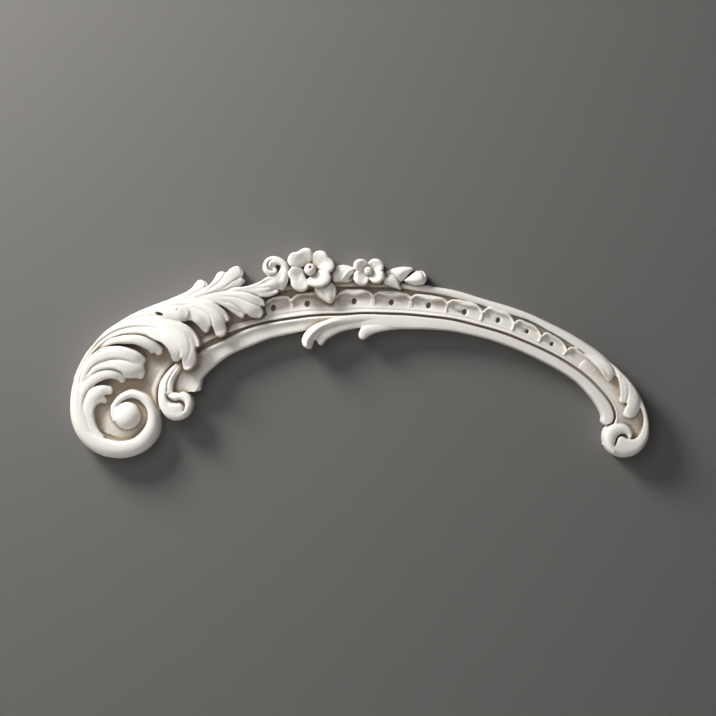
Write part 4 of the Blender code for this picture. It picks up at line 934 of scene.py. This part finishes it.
# Carved lines: rows of (x, y, half width, depth); a negative depth raises a lip
LINES = [
    [
        (100, 335, 0.5, 0), (125, 319.6, 1, 0.9), (145.9, 311.4, 1.1, 1.3), (161.2, 307.9, 1.1, 1.2),
        (180, 305.8, 1, 0.7), (196, 304, 0.8, 0),
    ],
    [
        (96, 345, 0.6, 0), (110, 331, 1, 0.9), (125.5, 321.6, 1.2, 1.6), (135.7, 318.1, 1.2, 1.5),
        (148.5, 316.5, 1, 0.8), (158, 316.6, 0.8, 0),
    ],
    [
        (88, 358, 0.6, 0), (97, 345.8, 1, 1), (105.1, 338.5, 1.2, 1.6), (115.3, 332.3, 1.3, 1.8),
        (125.5, 328.8, 1.3, 1.8), (140.8, 327, 1.3, 1.5), (153.6, 327.8, 1.2, 1), (166.3, 330.8, 1, 0),
    ],
    [
        (112, 340, 0.6, 0), (120.4, 335.9, 0.9, 1.6), (130.6, 334.4, 1, 2), (143.4, 334.9, 1, 2.2),
        (148.5, 336.4, 1, 2), (153, 340, 0.9, 0.6),
    ],
    [
        (113.4, 345.3, 0.8, 5), (122, 344.6, 1.2, 8), (131, 346.4, 1.5, 9), (139, 350.2, 1.4, 7),
        (145.9, 356.3, 1, 3),
    ],
    [
        (88, 374.4, 0.8, 0.6), (95.6, 365.7, 1.1, 1.5), (105.8, 361.1, 1.2, 1.8), (116, 359.1, 1.2, 1.6),
        (128.8, 361, 1.1, 0.9), (138, 365, 0.9, 0),
    ],
    [
        (84.4, 414, 0.8, 0), (84, 406, 1, 0.6), (85, 399.6, 1.1, 1.2), (89.2, 390, 1.1, 1.2),
        (95, 384, 1, 0.4),
    ],
    [
        (79, 390, 0.8, 0), (81.6, 376.6, 1, 0.6), (88.6, 361.6, 1.2, 1.3), (100.7, 351.9, 1.2, 1.6),
        (110.9, 347.4, 1, 1.6), (115, 345.8, 0.8, 2),
    ],
    [
        (148.5, 337, 0.9, -0.4), (156.1, 341, 1, -1.2), (163, 344.6, 1, -1.6), (167.2, 348.6, 1, -1.6),
        (170.8, 354.6, 1, -1.4), (173.6, 359.6, 0.9, -0.6),
    ],
    [
        (183.6, 323.6, 0.8, -0.6), (188, 326.2, 0.9, -1.2), (192.6, 330.2, 1, -1.5),
        (196.9, 335.6, 1, -1.5), (199.6, 341.6, 0.9, -1),
    ],
    [(186, 332, 1.4, 0), (190.4, 340, 1.5, 0.5), (191.6, 349, 1.5, 0.5), (188.4, 360, 1.2, 0.3)],
    [(172, 338, 1.4, 0), (178.6, 345, 1.5, 0.3), (181.4, 352, 1.5, 0.6), (180.6, 358, 1.2, 1.4)],
    [
        (93, 376, 0.9, 0.8), (99, 371.4, 1, 1.4), (106, 369.6, 1, 1.4), (116, 369.6, 1, 1),
        (122, 372.2, 0.9, 0.6),
    ],
    [(200, 303, 1, 0), (214, 308.6, 1.1, 0.6), (222, 314.4, 1.1, 0.7), (226.4, 321, 1, 0.6)],
    [(190, 306.6, 1, 0), (204, 311.6, 1.2, 0.6), (211.4, 318, 1.2, 1), (213.4, 325, 1.1, 1.4)],
    [(218, 297, 1, 0), (236, 298, 1.1, 0.7), (250, 303, 1.2, 0.8), (259.6, 307, 1, 1)],
    [(218, 300.6, 1, 0), (232, 304, 1.1, 0.7), (242, 311, 1.1, 1.2), (245, 314.6, 1, 1.4)],
    [(215, 293, 1, 0.1), (236, 292.6, 1.1, 0.7), (250, 293.6, 1.1, 0.8), (257, 296.4, 1, 1)],
    [(196, 298.4, 1, 0.1), (214, 293.4, 1.1, 0.7), (228, 290.2, 1.1, 0.7), (240, 286.4, 1, 0.5)],
    [(188, 297, 0.9, 0.1), (196, 293.4, 1, 0.7), (204.6, 288.6, 1, 0.7), (211, 284.6, 0.9, 0.6)],
    [(206, 292.6, 0.9, 0.1), (216, 286, 1, 0.7), (223, 279, 1, 0.8), (226, 273.6, 0.9, 1)],
    [(214, 292.6, 0.9, 0), (226, 287.6, 1, 0.6), (234, 281.6, 1, 0.7), (240.6, 277.6, 0.9, 1)],
    [(246, 290, 0.9, 0), (260, 288.8, 1.1, 0.5), (270, 288, 1.1, 0.6), (277.6, 290.4, 1, 0.7)],
    [
        (306.2, 346.4, 1.4, -0.8), (306.9, 340.8, 1.6, -1.2), (311.1, 334.5, 1.7, -1.2),
        (318.1, 328.1, 1.7, -1.2), (328.7, 323.2, 1.6, -0.9), (344.1, 319.7, 1.4, 0),
    ],
    [
        (311, 345, 1, 0.6), (313, 337.4, 1.2, 1), (319, 331.6, 1.4, 1), (330, 327, 1.4, 0.8),
        (346, 323.4, 1.2, 0),
    ],
    [
        (273, 260.8, 0.7, 0.6), (269, 262.6, 0.8, 2.6), (268.2, 266.4, 0.9, 3.2), (270, 269.8, 0.9, 3.2),
        (273.6, 271.4, 0.8, 2.6), (276, 273, 0.6, 1),
    ],
    [
        (353.4, 269.4, 0.9, -0.3), (348.4, 271.6, 1, -1.1), (344.2, 276.4, 1, -1.2),
        (340.4, 281.4, 0.9, -0.6),
    ],
    [(403.6, 279, 0.8, 1.4), (410, 274, 0.8, 1), (414, 271.4, 0.7, 0.4)],
    [(418.3, 271.6, 0.7, 2.4), (421.4, 273.4, 0.9, 3.4), (423, 276.2, 0.7, 2)],
    [(316, 287, 0.8, 0.4), (324, 294, 0.9, 0.9), (329.6, 301, 0.7, 0.2)],
    [(334.2, 284.6, 0.9, -0.6), (335, 290.4, 0.9, -1.2), (333.4, 297.6, 0.8, -0.8)],
    [(384, 275, 0.8, 1.2), (391, 274.4, 0.8, 1.4), (397, 279.4, 0.8, 1.6), (399.6, 284, 0.7, 1.6)],
    [
        (589.3, 361.6, 0.8, -0.2), (596, 366.8, 0.9, -0.6), (601.3, 372.9, 0.9, -0.7),
        (605, 379.4, 0.8, -0.4),
    ],
    [(590, 356, 0.9, 0), (596, 360.5, 1.2, 0.3), (601, 366.6, 1.3, 0.4), (605, 374, 1.1, 0.4)],
    [
        (617, 372.6, 0.8, -0.2), (616.6, 378.5, 0.9, -0.6), (618.6, 387.5, 0.9, -0.7),
        (619.3, 395, 0.8, -0.5),
    ],
    [
        (613, 366.6, 1, 0), (620, 375, 1.2, 0.3), (625, 385, 1.3, 0.4), (625.4, 395, 1.2, 0.8),
        (623, 403, 1, 2.4),
    ],
    [(180, 363, 0.8, 0.3), (172.8, 373, 0.9, 1), (168, 383, 0.9, 1.3), (167.6, 391, 0.8, 1.4)],
    [
        (166.6, 394, 0.7, 2), (168.6, 398, 1.2, 5), (171.6, 400.6, 1.9, 8), (175.6, 401.6, 1.8, 8.5),
        (180, 401.2, 2, 9), (183.4, 403.6, 1.7, 8.5), (184.4, 407.4, 1.1, 6), (183.8, 410.6, 0.7, 2),
    ],
    [
        (183, 359, 0.8, 1), (174.4, 363.3, 1, 2.4), (167.9, 370.4, 1.1, 3.2), (161.9, 380.1, 1.1, 3.4),
        (158.7, 389.9, 1.1, 3), (157.6, 399.6, 1, 2.4), (158.6, 407.8, 0.9, 1.6),
    ],
]


# Heights that follow the tables


def gutter_height(points, edge):
    """The volute's channel climbs towards the ball."""
    away = np.hypot(points[:, 0] - BALL[0], points[:, 1] - BALL[1]) - BALL[2]
    return 8.2 + 5.6 * np.clip(1 - away / 14.0, 0, 1) ** 1.2


def end_ground_height(points, edge):
    """The ground beside the groove sinks towards the rim and the end's volute."""
    away = nearest(points, along(GROOVE, 1.0))[0]
    low = np.clip((points[:, 1] - 396.0) / 34.0, 0, 1)
    return 14.0 - 0.09 * np.maximum(away - 2.0, 0) - low * np.clip(away / 20.0, 0, 1) * 3.0


def rim_height(v, t):
    """The rim is a bead along the arch and a broad cushion at the end."""
    crest = np.interp(t, [0, 0.1, 0.6, 0.8, 0.92, 1], [14.0, 14.4, 15.0, 17.0, 19.5, 18.5])
    places = [0, 0.55, 0.68, 0.76, 0.86, 0.94, 1]
    far = np.interp(t, places, [12.0, 13.0, 15.0, 17.0, 18.4, 18.0, 16.0])
    at = np.interp(t, [0, 0.3, 0.6, 0.8, 1], [0.5, 0.44, 0.4, 0.46, 0.5])
    return rolled(v, 9.0, crest, far, at, 2.3)


def lower_band_height(v, t):
    """A thin fillet along the groove, then a hollow face that turns out at the arch's edge."""
    left = np.interp(v, [0, 0.05, 0.16, 0.22, 0.3, 0.5, 0.72, 0.9, 1],
                     [13.4, 15.0, 15.2, 14.6, 13.4, 12.7, 12.7, 12.6, 10.6])
    right = np.interp(v, [0, 0.07, 0.3, 0.6, 0.86, 0.95, 1], [13.4, 14.6, 14.7, 14.6, 14.2, 13.4, 11.0])
    root = np.interp(v, [0, 0.06, 0.14, 0.22, 0.45, 0.75, 0.94, 1],
                     [10.6, 11.4, 11.6, 11.0, 10.6, 11.4, 12.2, 10.4])
    share = np.clip((t - 0.28) / 0.2, 0, 1)
    arch = left + (right - left) * share * share * (3 - 2 * share)
    share = np.clip((t - 0.03) / 0.11, 0, 1)
    return root + (arch - root) * share * share * (3 - 2 * share)


def spur_height(points, edge):
    """The spur has a low bead along its lower edge."""
    return 9.8 + 1.4 * np.exp(-(((edge - 1.2) / 1.5) ** 2)) * np.clip((points[:, 1] - 384.0) / 4.0, 0, 1)


def spread(outline, centre):
    """A petal's outline, a little wider round the flower's centre."""
    x, y = (np.array(outline) - np.array(centre)).T
    turn, reach = np.arctan2(y, x), np.hypot(x, y)
    middle = math.atan2(y.mean(), x.mean())
    turn = middle + ((turn - middle + math.pi) % (2 * math.pi) - math.pi) * PETAL_SPREAD
    return np.column_stack([centre[0] + reach * np.cos(turn), centre[1] + reach * np.sin(turn)])


def petal(centre, crest):
    """A petal rises from the hollow at the flower's centre and rolls over at its edge."""

    def height(points, edge):
        away = np.hypot(points[:, 0] - centre[0], points[:, 1] - centre[1])
        reach = away / max(away.max(), 1e-6)
        turn = np.arctan2(points[:, 1] - centre[1], points[:, 0] - centre[0])
        h = crest - 8.0 * (1 - np.clip(reach / 0.76, 0, 1)) ** 1.3
        h += 0.4 * np.cos(turn * 8.0) * reach
        return h - cushion(2.4, edge, 2.4)

    return height


def shell_height(corners, sag, dish, last):
    """A hollow dish, open to the fillet, with thin sides and a rolled top lip that sags."""
    a, b = np.array(corners[0]), np.array(corners[3])
    chord = b - a
    wide = np.hypot(*chord)
    top = along(shell_top(corners), 0.7)
    fillet = along(FILLET, 1.0)

    def height(points, edge):
        u = np.clip((points - a) @ chord / wide**2, 0, 1)
        down = nearest(points, top)[0]
        up = nearest(points, fillet)[0]
        side = (u if last else np.minimum(u, 1 - u)) * wide
        lip = 1.0 + sag * np.sin(math.pi * np.clip((u - 0.12) / 0.76, 0, 1)) ** 1.4
        roll = np.where(
            down < lip,
            14.0 + 2.0 * np.sqrt(np.clip(down / lip, 0, 1)),
            dish + (16.0 - dish) * np.exp(-(((down - lip) / 1.5) ** 2)),
        )
        h = roll + 1.3 * np.exp(-((side / 0.9) ** 2)) * (down > lip)
        h = np.maximum(h, 13.0 - up * 0.4)
        return h - 0.9 * np.clip(1 - down / 0.5, 0, 1)

    return height


def shell_outline(corners):
    """A shell's upper edge, closed along the fillet below it."""
    a, b = np.array(corners[0]), np.array(corners[3])
    fillet = along(FILLET, 1.0)
    start = np.argmin(np.hypot(*(fillet - a).T))
    stop = np.argmin(np.hypot(*(fillet - b).T))
    base = fillet[np.linspace(stop, start, 7).astype(int)]
    return [*shell_top(corners), *base]


def shell_top(corners):
    """The shell's upper edge: a steep corner, a nearly straight run and a steep corner."""
    a, p, q, b = (np.array(point, float) for point in corners)
    out = np.array([(p - q)[1], -(p - q)[0]])
    out /= np.hypot(*out)
    out *= np.sign(out @ ((p + q) / 2 - (a + b) / 2) + 1e-9)
    corner_a = a + (p - a) * 0.45 + out * 1.3
    corner_b = b + (q - b) * 0.45 + out * 1.3
    return [a, corner_a, p, (p + q) / 2 + out * 0.3, q, corner_b, b]


# The casting


def carve():
    """Every element's mesh, crossing each other."""
    made = [
        plate("ground", LEFT_GROUND, level(10.0), 3.0),
        ribbon("mass", LEFT_OUTLINE, LEFT_INNER, table(MASS_FACE)),
        ribbon("great_rim", BIG_RIM_OUTER, BIG_RIM_INNER, great_rim_height),
        plate("coil_web", COIL_WEB, swell(20.5, 17.0)),
        plate("ball", circle(*BALL), swell(25.5, 15.0), 0.8),
        ribbon("rim", RIM_OUTER, RIM_INNER, rim_height, across=21),
        ribbon("end_coil", END_COIL_OUTER, END_COIL_INNER, end_coil_height),
        ribbon("channel", RIM_INNER, shift(RIM_INNER, -12.0), table(BED_FACE)),
        ribbon("bed", shift(FILLET, 13.0), FILLET, table(BED_FACE)),
        ribbon("fillet", FILLET, shift(GROOVE, 1.3), table(FILLET_FACE), across=15),
        ribbon("groove", shift(GROOVE, 3.0), shift(GROOVE, -6.5), table(GROOVE_FACE), across=5),
        ribbon("lower_band", LOWER_TOP, LOWER_EDGE, lower_band_height, across=25),
        plate("spur", SPUR, spur_height, 1.2),
        plate("gutter", circle(*GUTTER), gutter_height, 1.2),
        plate("end_ground", END_GROUND, end_ground_height, 1.2),
        plate("end_floor", circle(*END_FLOOR), level(8.0), 3.0),
        plate("great_floor", circle(*GREAT_FLOOR), level(7.5), 3.0),
        plate("small_floor", circle(*SMALL_FLOOR), level(8.0), 3.0),
        plate("small_pad", circle(*SMALL_PAD), swell(20.6, 17.4), 0.9),
        plate("curl_floor", circle(*CURL_FLOOR), level(13.0), 2.0),
        plate("band_start", BAND_START, level(9.0), 3.0),
    ]
    for name, (outline, spines, options) in LEAVES.items():
        made.append(plate(name, outline, fingers(spines, **options)))
    made.append(ribbon("curl", CURL_OUTER, CURL_INNER, curl_height, step=0.7))
    for name, rows in STRANDS.items():
        made.append(strand(name, rows))
    for index, (*corners, sag, hole) in enumerate(SHELLS):
        dish = DEEP_DISH if index < DEEP_SHELLS else SHALLOW_DISH
        height = shell_height(corners, sag, dish, hole is None)
        made.append(plate(f"shell_{index}", shell_outline(corners), height, 0.6))
    for number, (middle, radius, crest, petal_crest, petals) in enumerate(FLOWERS):
        for k, outline in enumerate(petals):
            height = petal(middle, petal_crest)
            made.append(plate(f"petal_{number}_{k}", spread(outline, middle), height, 0.7))
        made.append(plate(f"button_{number}", circle(*middle, radius), swell(crest, crest - 6.0), 0.6))
    for name, (outline, crest, edge) in LEAFLETS.items():
        made.append(plate(name, outline, swell(crest, edge), 0.8))
    return made


def one_casting(meshes):
    """The elements joined by cells into one carved and lightened skin, with the maps of its hollows."""
    shape = bmesh.new()
    for mesh in meshes:
        shape.from_mesh(mesh)
    joined = bpy.data.meshes.new("applique_casting")
    shape.to_mesh(joined)
    shape.free()
    for mesh in meshes:
        bpy.data.meshes.remove(mesh)
    casting = bpy.data.objects.new("plaster_applique", joined)
    bpy.context.scene.collection.objects.link(casting)
    cells = casting.modifiers.new("cells", "REMESH")
    cells.mode = "VOXEL"
    cells.voxel_size = CELL / 1000
    soften = casting.modifiers.new("soften", "SMOOTH")
    soften.factor = 0.5
    soften.iterations = 1
    bake(casting)
    press(casting)
    maps = survey(casting)
    fewer = casting.modifiers.new("fewer", "DECIMATE")
    fewer.ratio = min(1.0, TRIANGLES / (2 * len(casting.data.polygons)))
    bake(casting)
    return casting, maps


def bake(obj):
    """Makes the object's modifiers real."""
    graph = bpy.context.evaluated_depsgraph_get()
    mesh = bpy.data.meshes.new_from_object(obj.evaluated_get(graph))
    obj.modifiers.clear()
    obj.data = mesh


def sheet(casting):
    """The skin's points, then their places on the sheet, then their heights."""
    mesh = casting.data
    co = np.empty(len(mesh.vertices) * 3)
    mesh.vertices.foreach_get("co", co)
    co = co.reshape(-1, 3)
    at = np.column_stack([co[:, 0] * 1000 + CENTRE[0], CENTRE[1] - co[:, 2] * 1000])
    return co, at, -co[:, 1] * 1000 - BACKING


def press(casting):
    """Carves the fine lines, the soft dents and the drilled holes into the skin."""
    co, at, h = sheet(casting)
    change = np.zeros(len(h))
    for rows in LINES:
        line = along(rows, 0.7)
        reach = LINE_REACH * line[:, 2].max()
        low, high = line[:, :2].min(0) - reach, line[:, :2].max(0) + reach
        near = np.flatnonzero((at > low).all(1) & (at < high).all(1) & (h > CARVED_ABOVE))
        away, row = nearest(at[near], line)
        change[near] -= row[:, 3] * np.exp(-((away / np.maximum(row[:, 2], 0.3)) ** 2))
    h = np.where(change < 0, np.maximum(h + change, np.minimum(h, LINE_FLOOR)), h + change)
    for group, sharp in ((DENTS, False), (PITS, True)):
        for px, py, long, wide, turn, depth in group:
            c, s = math.cos(math.radians(turn)), math.sin(math.radians(turn))
            x, y = at[:, 0] - px, at[:, 1] - py
            r = np.hypot((x * c + y * s) / long, (y * c - x * s) / wide)
            if sharp:
                share = np.clip((1.2 - r) / 0.4, 0, 1)
                share = share * share * (3 - 2 * share)
            else:
                share = np.exp(-(r**2) * 1.2)
            near = (r < 2.4) & (h > CARVED_ABOVE)
            h = np.where(near, np.maximum(h - depth * share, np.minimum(h, PIT_FLOOR)), h)
    co[:, 1] = -(h + BACKING) / 1000
    casting.data.vertices.foreach_set("co", co.reshape(-1))
    casting.data.update()


def flat_back(casting):
    """Cuts the casting at the wall and closes it with a flat back that has sharp edges."""
    shape = bmesh.new()
    shape.from_mesh(casting.data)
    geom = list(shape.verts) + list(shape.edges) + list(shape.faces)
    bmesh.ops.bisect_plane(
        shape, geom=geom, dist=1e-7, plane_co=(0, 0, 0), plane_no=(0, 1, 0), clear_outer=True
    )
    open_edges = [edge for edge in shape.edges if edge.is_boundary]
    bmesh.ops.triangle_fill(shape, use_beauty=True, edges=open_edges, normal=(0, 1, 0))
    islands(shape)
    bmesh.ops.recalc_face_normals(shape, faces=shape.faces)
    for face in shape.faces:
        face.smooth = not all(abs(v.co.y) < 1e-6 for v in face.verts)
    for edge in shape.edges:
        edge.smooth = len({face.smooth for face in edge.link_faces}) < 2
    shape.to_mesh(casting.data)
    shape.free()


def islands(shape):
    """Only the largest connected skin stays."""
    shape.verts.index_update()
    shape.verts.ensure_lookup_table()
    seen = np.zeros(len(shape.verts), bool)
    groups = []
    for vert in shape.verts:
        if seen[vert.index]:
            continue
        seen[vert.index] = True
        group, front = [], [vert]
        while front:
            here = front.pop()
            group.append(here)
            for edge in here.link_edges:
                other = edge.other_vert(here)
                if not seen[other.index]:
                    seen[other.index] = True
                    front.append(other)
        groups.append(group)
    groups.sort(key=len)
    for group in groups[:-1]:
        bmesh.ops.delete(shape, geom=group, context="VERTS")


def blur(image, sigma):
    """A Gaussian blur by way of the frequency plane."""
    fy = np.fft.fftfreq(image.shape[0])[:, None]
    fx = np.fft.rfftfreq(image.shape[1])[None, :]
    kernel = np.exp(-2 * (math.pi * sigma) ** 2 * (fx**2 + fy**2))
    return np.fft.irfft2(np.fft.rfft2(image) * kernel, image.shape)


def survey(casting):
    """Maps, taken while the skin is dense: how high it stands around each place, and where it ends."""
    _, at, h = sheet(casting)
    corner = at.min(0) - MARK_MARGIN
    ix, iy = ((at - corner) / MARK_PITCH).astype(int).T
    spare = int(MARK_MARGIN / MARK_PITCH)
    top = np.zeros((iy.max() + spare, ix.max() + spare))
    np.maximum.at(top, (iy, ix), h)
    solid = (top > 0.2).astype(float)
    around = [
        blur(top * solid, width / MARK_PITCH) / np.maximum(blur(solid, width / MARK_PITCH), 1e-3)
        for width, _, _ in DUST_AND_SHADE_SCALES
    ]
    return corner, around, blur(solid, OUTLINE_BLUR), blur(solid, FLANK_WIDTH / MARK_PITCH)


def mark_dust_and_shade(casting, maps):
    """Stores how deep each point lies among its neighbours, for the dust and painted shade in the hollows
    and creases.

    The outline, the flat back and the outer flanks have none.
    """
    corner, around, inner, edge = maps
    _, at, h = sheet(casting)
    ix, iy = ((at - corner) / MARK_PITCH).astype(int).T
    # Depth below the neighbours at three widths, fine to broad, sets the dust tint that also paints shade
    # into hollows and creases
    dust_and_shade = sum(
        weight * np.clip((level_map[iy, ix] - h) / full, 0, 1)
        for level_map, (_, full, weight) in zip(around, DUST_AND_SHADE_SCALES)
    )
    dust_and_shade *= np.clip((inner[iy, ix] - 0.72) / 0.2, 0, 1)
    dust_and_shade[h < 0.5 - BACKING] = 0.0
    down, across = np.gradient(edge)
    inward = np.stack([across[iy, ix], down[iy, ix]], axis=1)
    inward /= np.maximum(np.hypot(*inward.T), 1e-6)[:, None]
    normal = np.empty(len(h) * 3)
    casting.data.vertex_normals.foreach_get("vector", normal)
    normal = normal.reshape(-1, 3)
    outward = normal[:, 2] * inward[:, 1] - normal[:, 0] * inward[:, 0]
    near_edge = np.clip((0.97 - edge[iy, ix]) / 0.1, 0, 1)
    dust_and_shade *= 1 - np.clip((outward - 0.25) / 0.3, 0, 1) * near_edge
    layer = casting.data.attributes.new("dust_and_shade", "FLOAT", "POINT")
    layer.data.foreach_set("value", np.clip(dust_and_shade, 0, 1).astype(np.float32))


def fit_box(casting):
    """The casting fills the frame's box exactly."""
    co = sheet(casting)[0]
    low, high = co.min(0), co.max(0)
    want_low, want_high = np.array(cad_box[0]), np.array(cad_box[1])
    co = want_low + (co - low) * ((want_high - want_low) / (high - low))
    casting.data.vertices.foreach_set("co", co.reshape(-1))
    casting.data.update()


# Looks


def plaster():
    """White cast plaster, dusty beige and darkened by painted shade in the hollows, with faint mottling and
    a fine tooth.
    """
    material = bpy.data.materials.new("plaster")
    material.use_nodes = True
    tree = material.node_tree
    nodes, links = tree.nodes, tree.links
    shader = nodes["Principled BSDF"]
    shader.inputs["Roughness"].default_value = 0.72
    shader.inputs["Specular IOR Level"].default_value = 0.28
    place = nodes.new("ShaderNodeTexCoord")
    dust_and_shade = nodes.new("ShaderNodeAttribute")
    dust_and_shade.attribute_name = "dust_and_shade"
    cloud = nodes.new("ShaderNodeTexNoise")
    cloud.inputs["Scale"].default_value = 22.0
    cloud.inputs["Detail"].default_value = 6.0
    links.new(place.outputs["Object"], cloud.inputs["Vector"])
    body = nodes.new("ShaderNodeValToRGB")
    body.color_ramp.elements[0].position = 0.3
    body.color_ramp.elements[0].color = PLASTER_DARK
    body.color_ramp.elements[1].position = 0.72
    body.color_ramp.elements[1].color = PLASTER_LIGHT
    links.new(cloud.outputs["Fac"], body.inputs["Fac"])
    # The dust colour mixed in by depth also stands for painted shade in the hollows and creases
    dust_and_shade_mix = nodes.new("ShaderNodeMix")
    dust_and_shade_mix.data_type = "RGBA"
    dust_and_shade_mix.inputs["B"].default_value = DUST_AND_SHADE_COLOUR
    links.new(body.outputs["Color"], dust_and_shade_mix.inputs["A"])
    ramp = nodes.new("ShaderNodeMapRange")
    ramp.inputs["From Min"].default_value = 0.05
    ramp.inputs["From Max"].default_value = 0.85
    ramp.inputs["To Max"].default_value = DUST_AND_SHADE_SHARE
    links.new(dust_and_shade.outputs["Fac"], ramp.inputs["Value"])
    links.new(ramp.outputs["Result"], dust_and_shade_mix.inputs["Factor"])
    links.new(dust_and_shade_mix.outputs["Result"], shader.inputs["Base Color"])
    tooth = nodes.new("ShaderNodeTexNoise")
    tooth.inputs["Scale"].default_value = 900.0
    tooth.inputs["Detail"].default_value = 4.0
    links.new(place.outputs["Object"], tooth.inputs["Vector"])
    bump = nodes.new("ShaderNodeBump")
    bump.inputs["Strength"].default_value = 0.12
    bump.inputs["Distance"].default_value = 0.0004
    links.new(tooth.outputs["Fac"], bump.inputs["Height"])
    links.new(bump.outputs["Normal"], shader.inputs["Normal"])
    return material


# The setting


def plain(name, colour):
    """A dull paint."""
    material = bpy.data.materials.new(name)
    material.use_nodes = True
    shader = material.node_tree.nodes["Principled BSDF"]
    shader.inputs["Base Color"].default_value = (*colour, 1)
    shader.inputs["Roughness"].default_value = 0.9
    shader.inputs["Specular IOR Level"].default_value = 0.1
    return material


def scenery(name, points, faces, material):
    """A sheet of the setting, which is no part of the object."""
    mesh = bpy.data.meshes.new(name)
    mesh.from_pydata(points, [], faces)
    made = bpy.data.objects.new(name, mesh)
    bpy.context.scene.collection.objects.link(made)
    mesh.materials.append(material)


def back_loops(casting):
    """The outlines of the flat back in (x, z), each moved a little into the plaster."""
    shape = bmesh.new()
    shape.from_mesh(casting.data)
    following = {}
    for face in shape.faces:
        if face.normal.y < 0.999 or abs(face.calc_center_median().y) > 1e-5:
            continue
        for loop in face.loops:
            other = loop.link_loop_radial_next.face
            if other.normal.y < 0.999 or abs(other.calc_center_median().y) > 1e-5:
                following.setdefault(loop.vert.index, []).append(loop.link_loop_next.vert.index)
    places = {vert.index: (vert.co.x, vert.co.z) for vert in shape.verts}
    shape.free()
    loops = []
    while following:
        first = next(iter(following))
        ring, here = [], first
        while here in following:
            ring.append(places[here])
            ahead = following[here].pop()
            if not following[here]:
                del following[here]
            here = ahead
        if len(ring) > 8:
            ring = np.array(ring)
            way = np.roll(ring, -1, axis=0) - np.roll(ring, 1, axis=0)
            way /= np.maximum(np.hypot(*way.T), 1e-9)[:, None]
            loops.append(ring + np.stack([way[:, 1], -way[:, 0]], axis=1) * WALL_LAP)
    return loops


def wall_round(casting, material):
    """The wall, open behind the casting so that its flat back can be seen."""
    corners = [WALL_LOW, (WALL_HIGH[0], WALL_LOW[1]), WALL_HIGH, (WALL_LOW[0], WALL_HIGH[1])]
    rings = [np.array(corners), *back_loops(casting)]
    every, edges = [], []
    for ring in rings:
        base = len(every)
        every += [Vector(p) for p in ring]
        edges += [(base + k, base + (k + 1) % len(ring)) for k in range(len(ring))]
    result = delaunay_2d_cdt(every, edges, [], 0, 1e-7)
    flat = np.array([tuple(v) for v in result[0]])
    tris = np.array([f for f in result[2] if len(f) == 3])
    centres = flat[tris].mean(1)
    plaster_behind = np.zeros(len(tris), bool)
    for ring in rings[1:]:
        plaster_behind ^= inside(centres, ring)
    tris = tris[~plaster_behind]
    scenery("wall", [(x, WALL_AT, z) for x, z in flat], tris.tolist(), material)


def area_light(name, place, size, power, colour):
    """A soft round lamp, aimed at the casting."""
    data = bpy.data.lights.new(name, "AREA")
    data.shape = "DISK"
    data.size = size
    data.energy = power
    data.color = colour
    lamp = bpy.data.objects.new(name, data)
    lamp.location = place
    lamp.rotation_euler = (Vector(AIM) - Vector(place)).to_track_quat("-Z", "Y").to_euler()
    bpy.context.scene.collection.objects.link(lamp)


def stage_and_light(casting):
    """The wall, the floor, the soft lamps and the camera, which looks straight at the wall."""
    scene = bpy.context.scene
    world = bpy.data.worlds.new("studio")
    scene.world = world
    world.use_nodes = True
    background = world.node_tree.nodes["Background"]
    background.inputs["Color"].default_value = SKY
    background.inputs["Strength"].default_value = SKY_STRENGTH
    wall_round(casting, plain("wall_paint", WALL_PAINT))
    corners = [(-1, -1), (1, -1), (1, 1), (-1, 1)]
    floor = [(x * FLOOR_HALF, y * FLOOR_HALF, WALL_LOW[1]) for x, y in corners]
    scenery("floor", floor, [(0, 1, 2, 3)], plain("floor_paint", FLOOR_PAINT))
    for name, lamp in LAMPS.items():
        area_light(name, *lamp)
    camera_data = bpy.data.cameras.new("camera")
    camera_data.sensor_width = SENSOR
    camera_data.lens = LENS
    camera_data.clip_end = 50.0
    camera = bpy.data.objects.new("camera", camera_data)
    camera.location = (CAMERA_ACROSS, MIDDLE_DEPTH - PICTURE_WIDTH * LENS / SENSOR, CAMERA_UP)
    camera.rotation_euler = (math.pi / 2, 0, 0)
    scene.collection.objects.link(camera)
    scene.camera = camera
    scene.view_settings.view_transform = "Standard"


casting, maps = one_casting(carve())
flat_back(casting)
mark_dust_and_shade(casting, maps)
fit_box(casting)
casting.data.materials.append(plaster())
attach(casting, "root")
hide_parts("applique")
stage_and_light(casting)
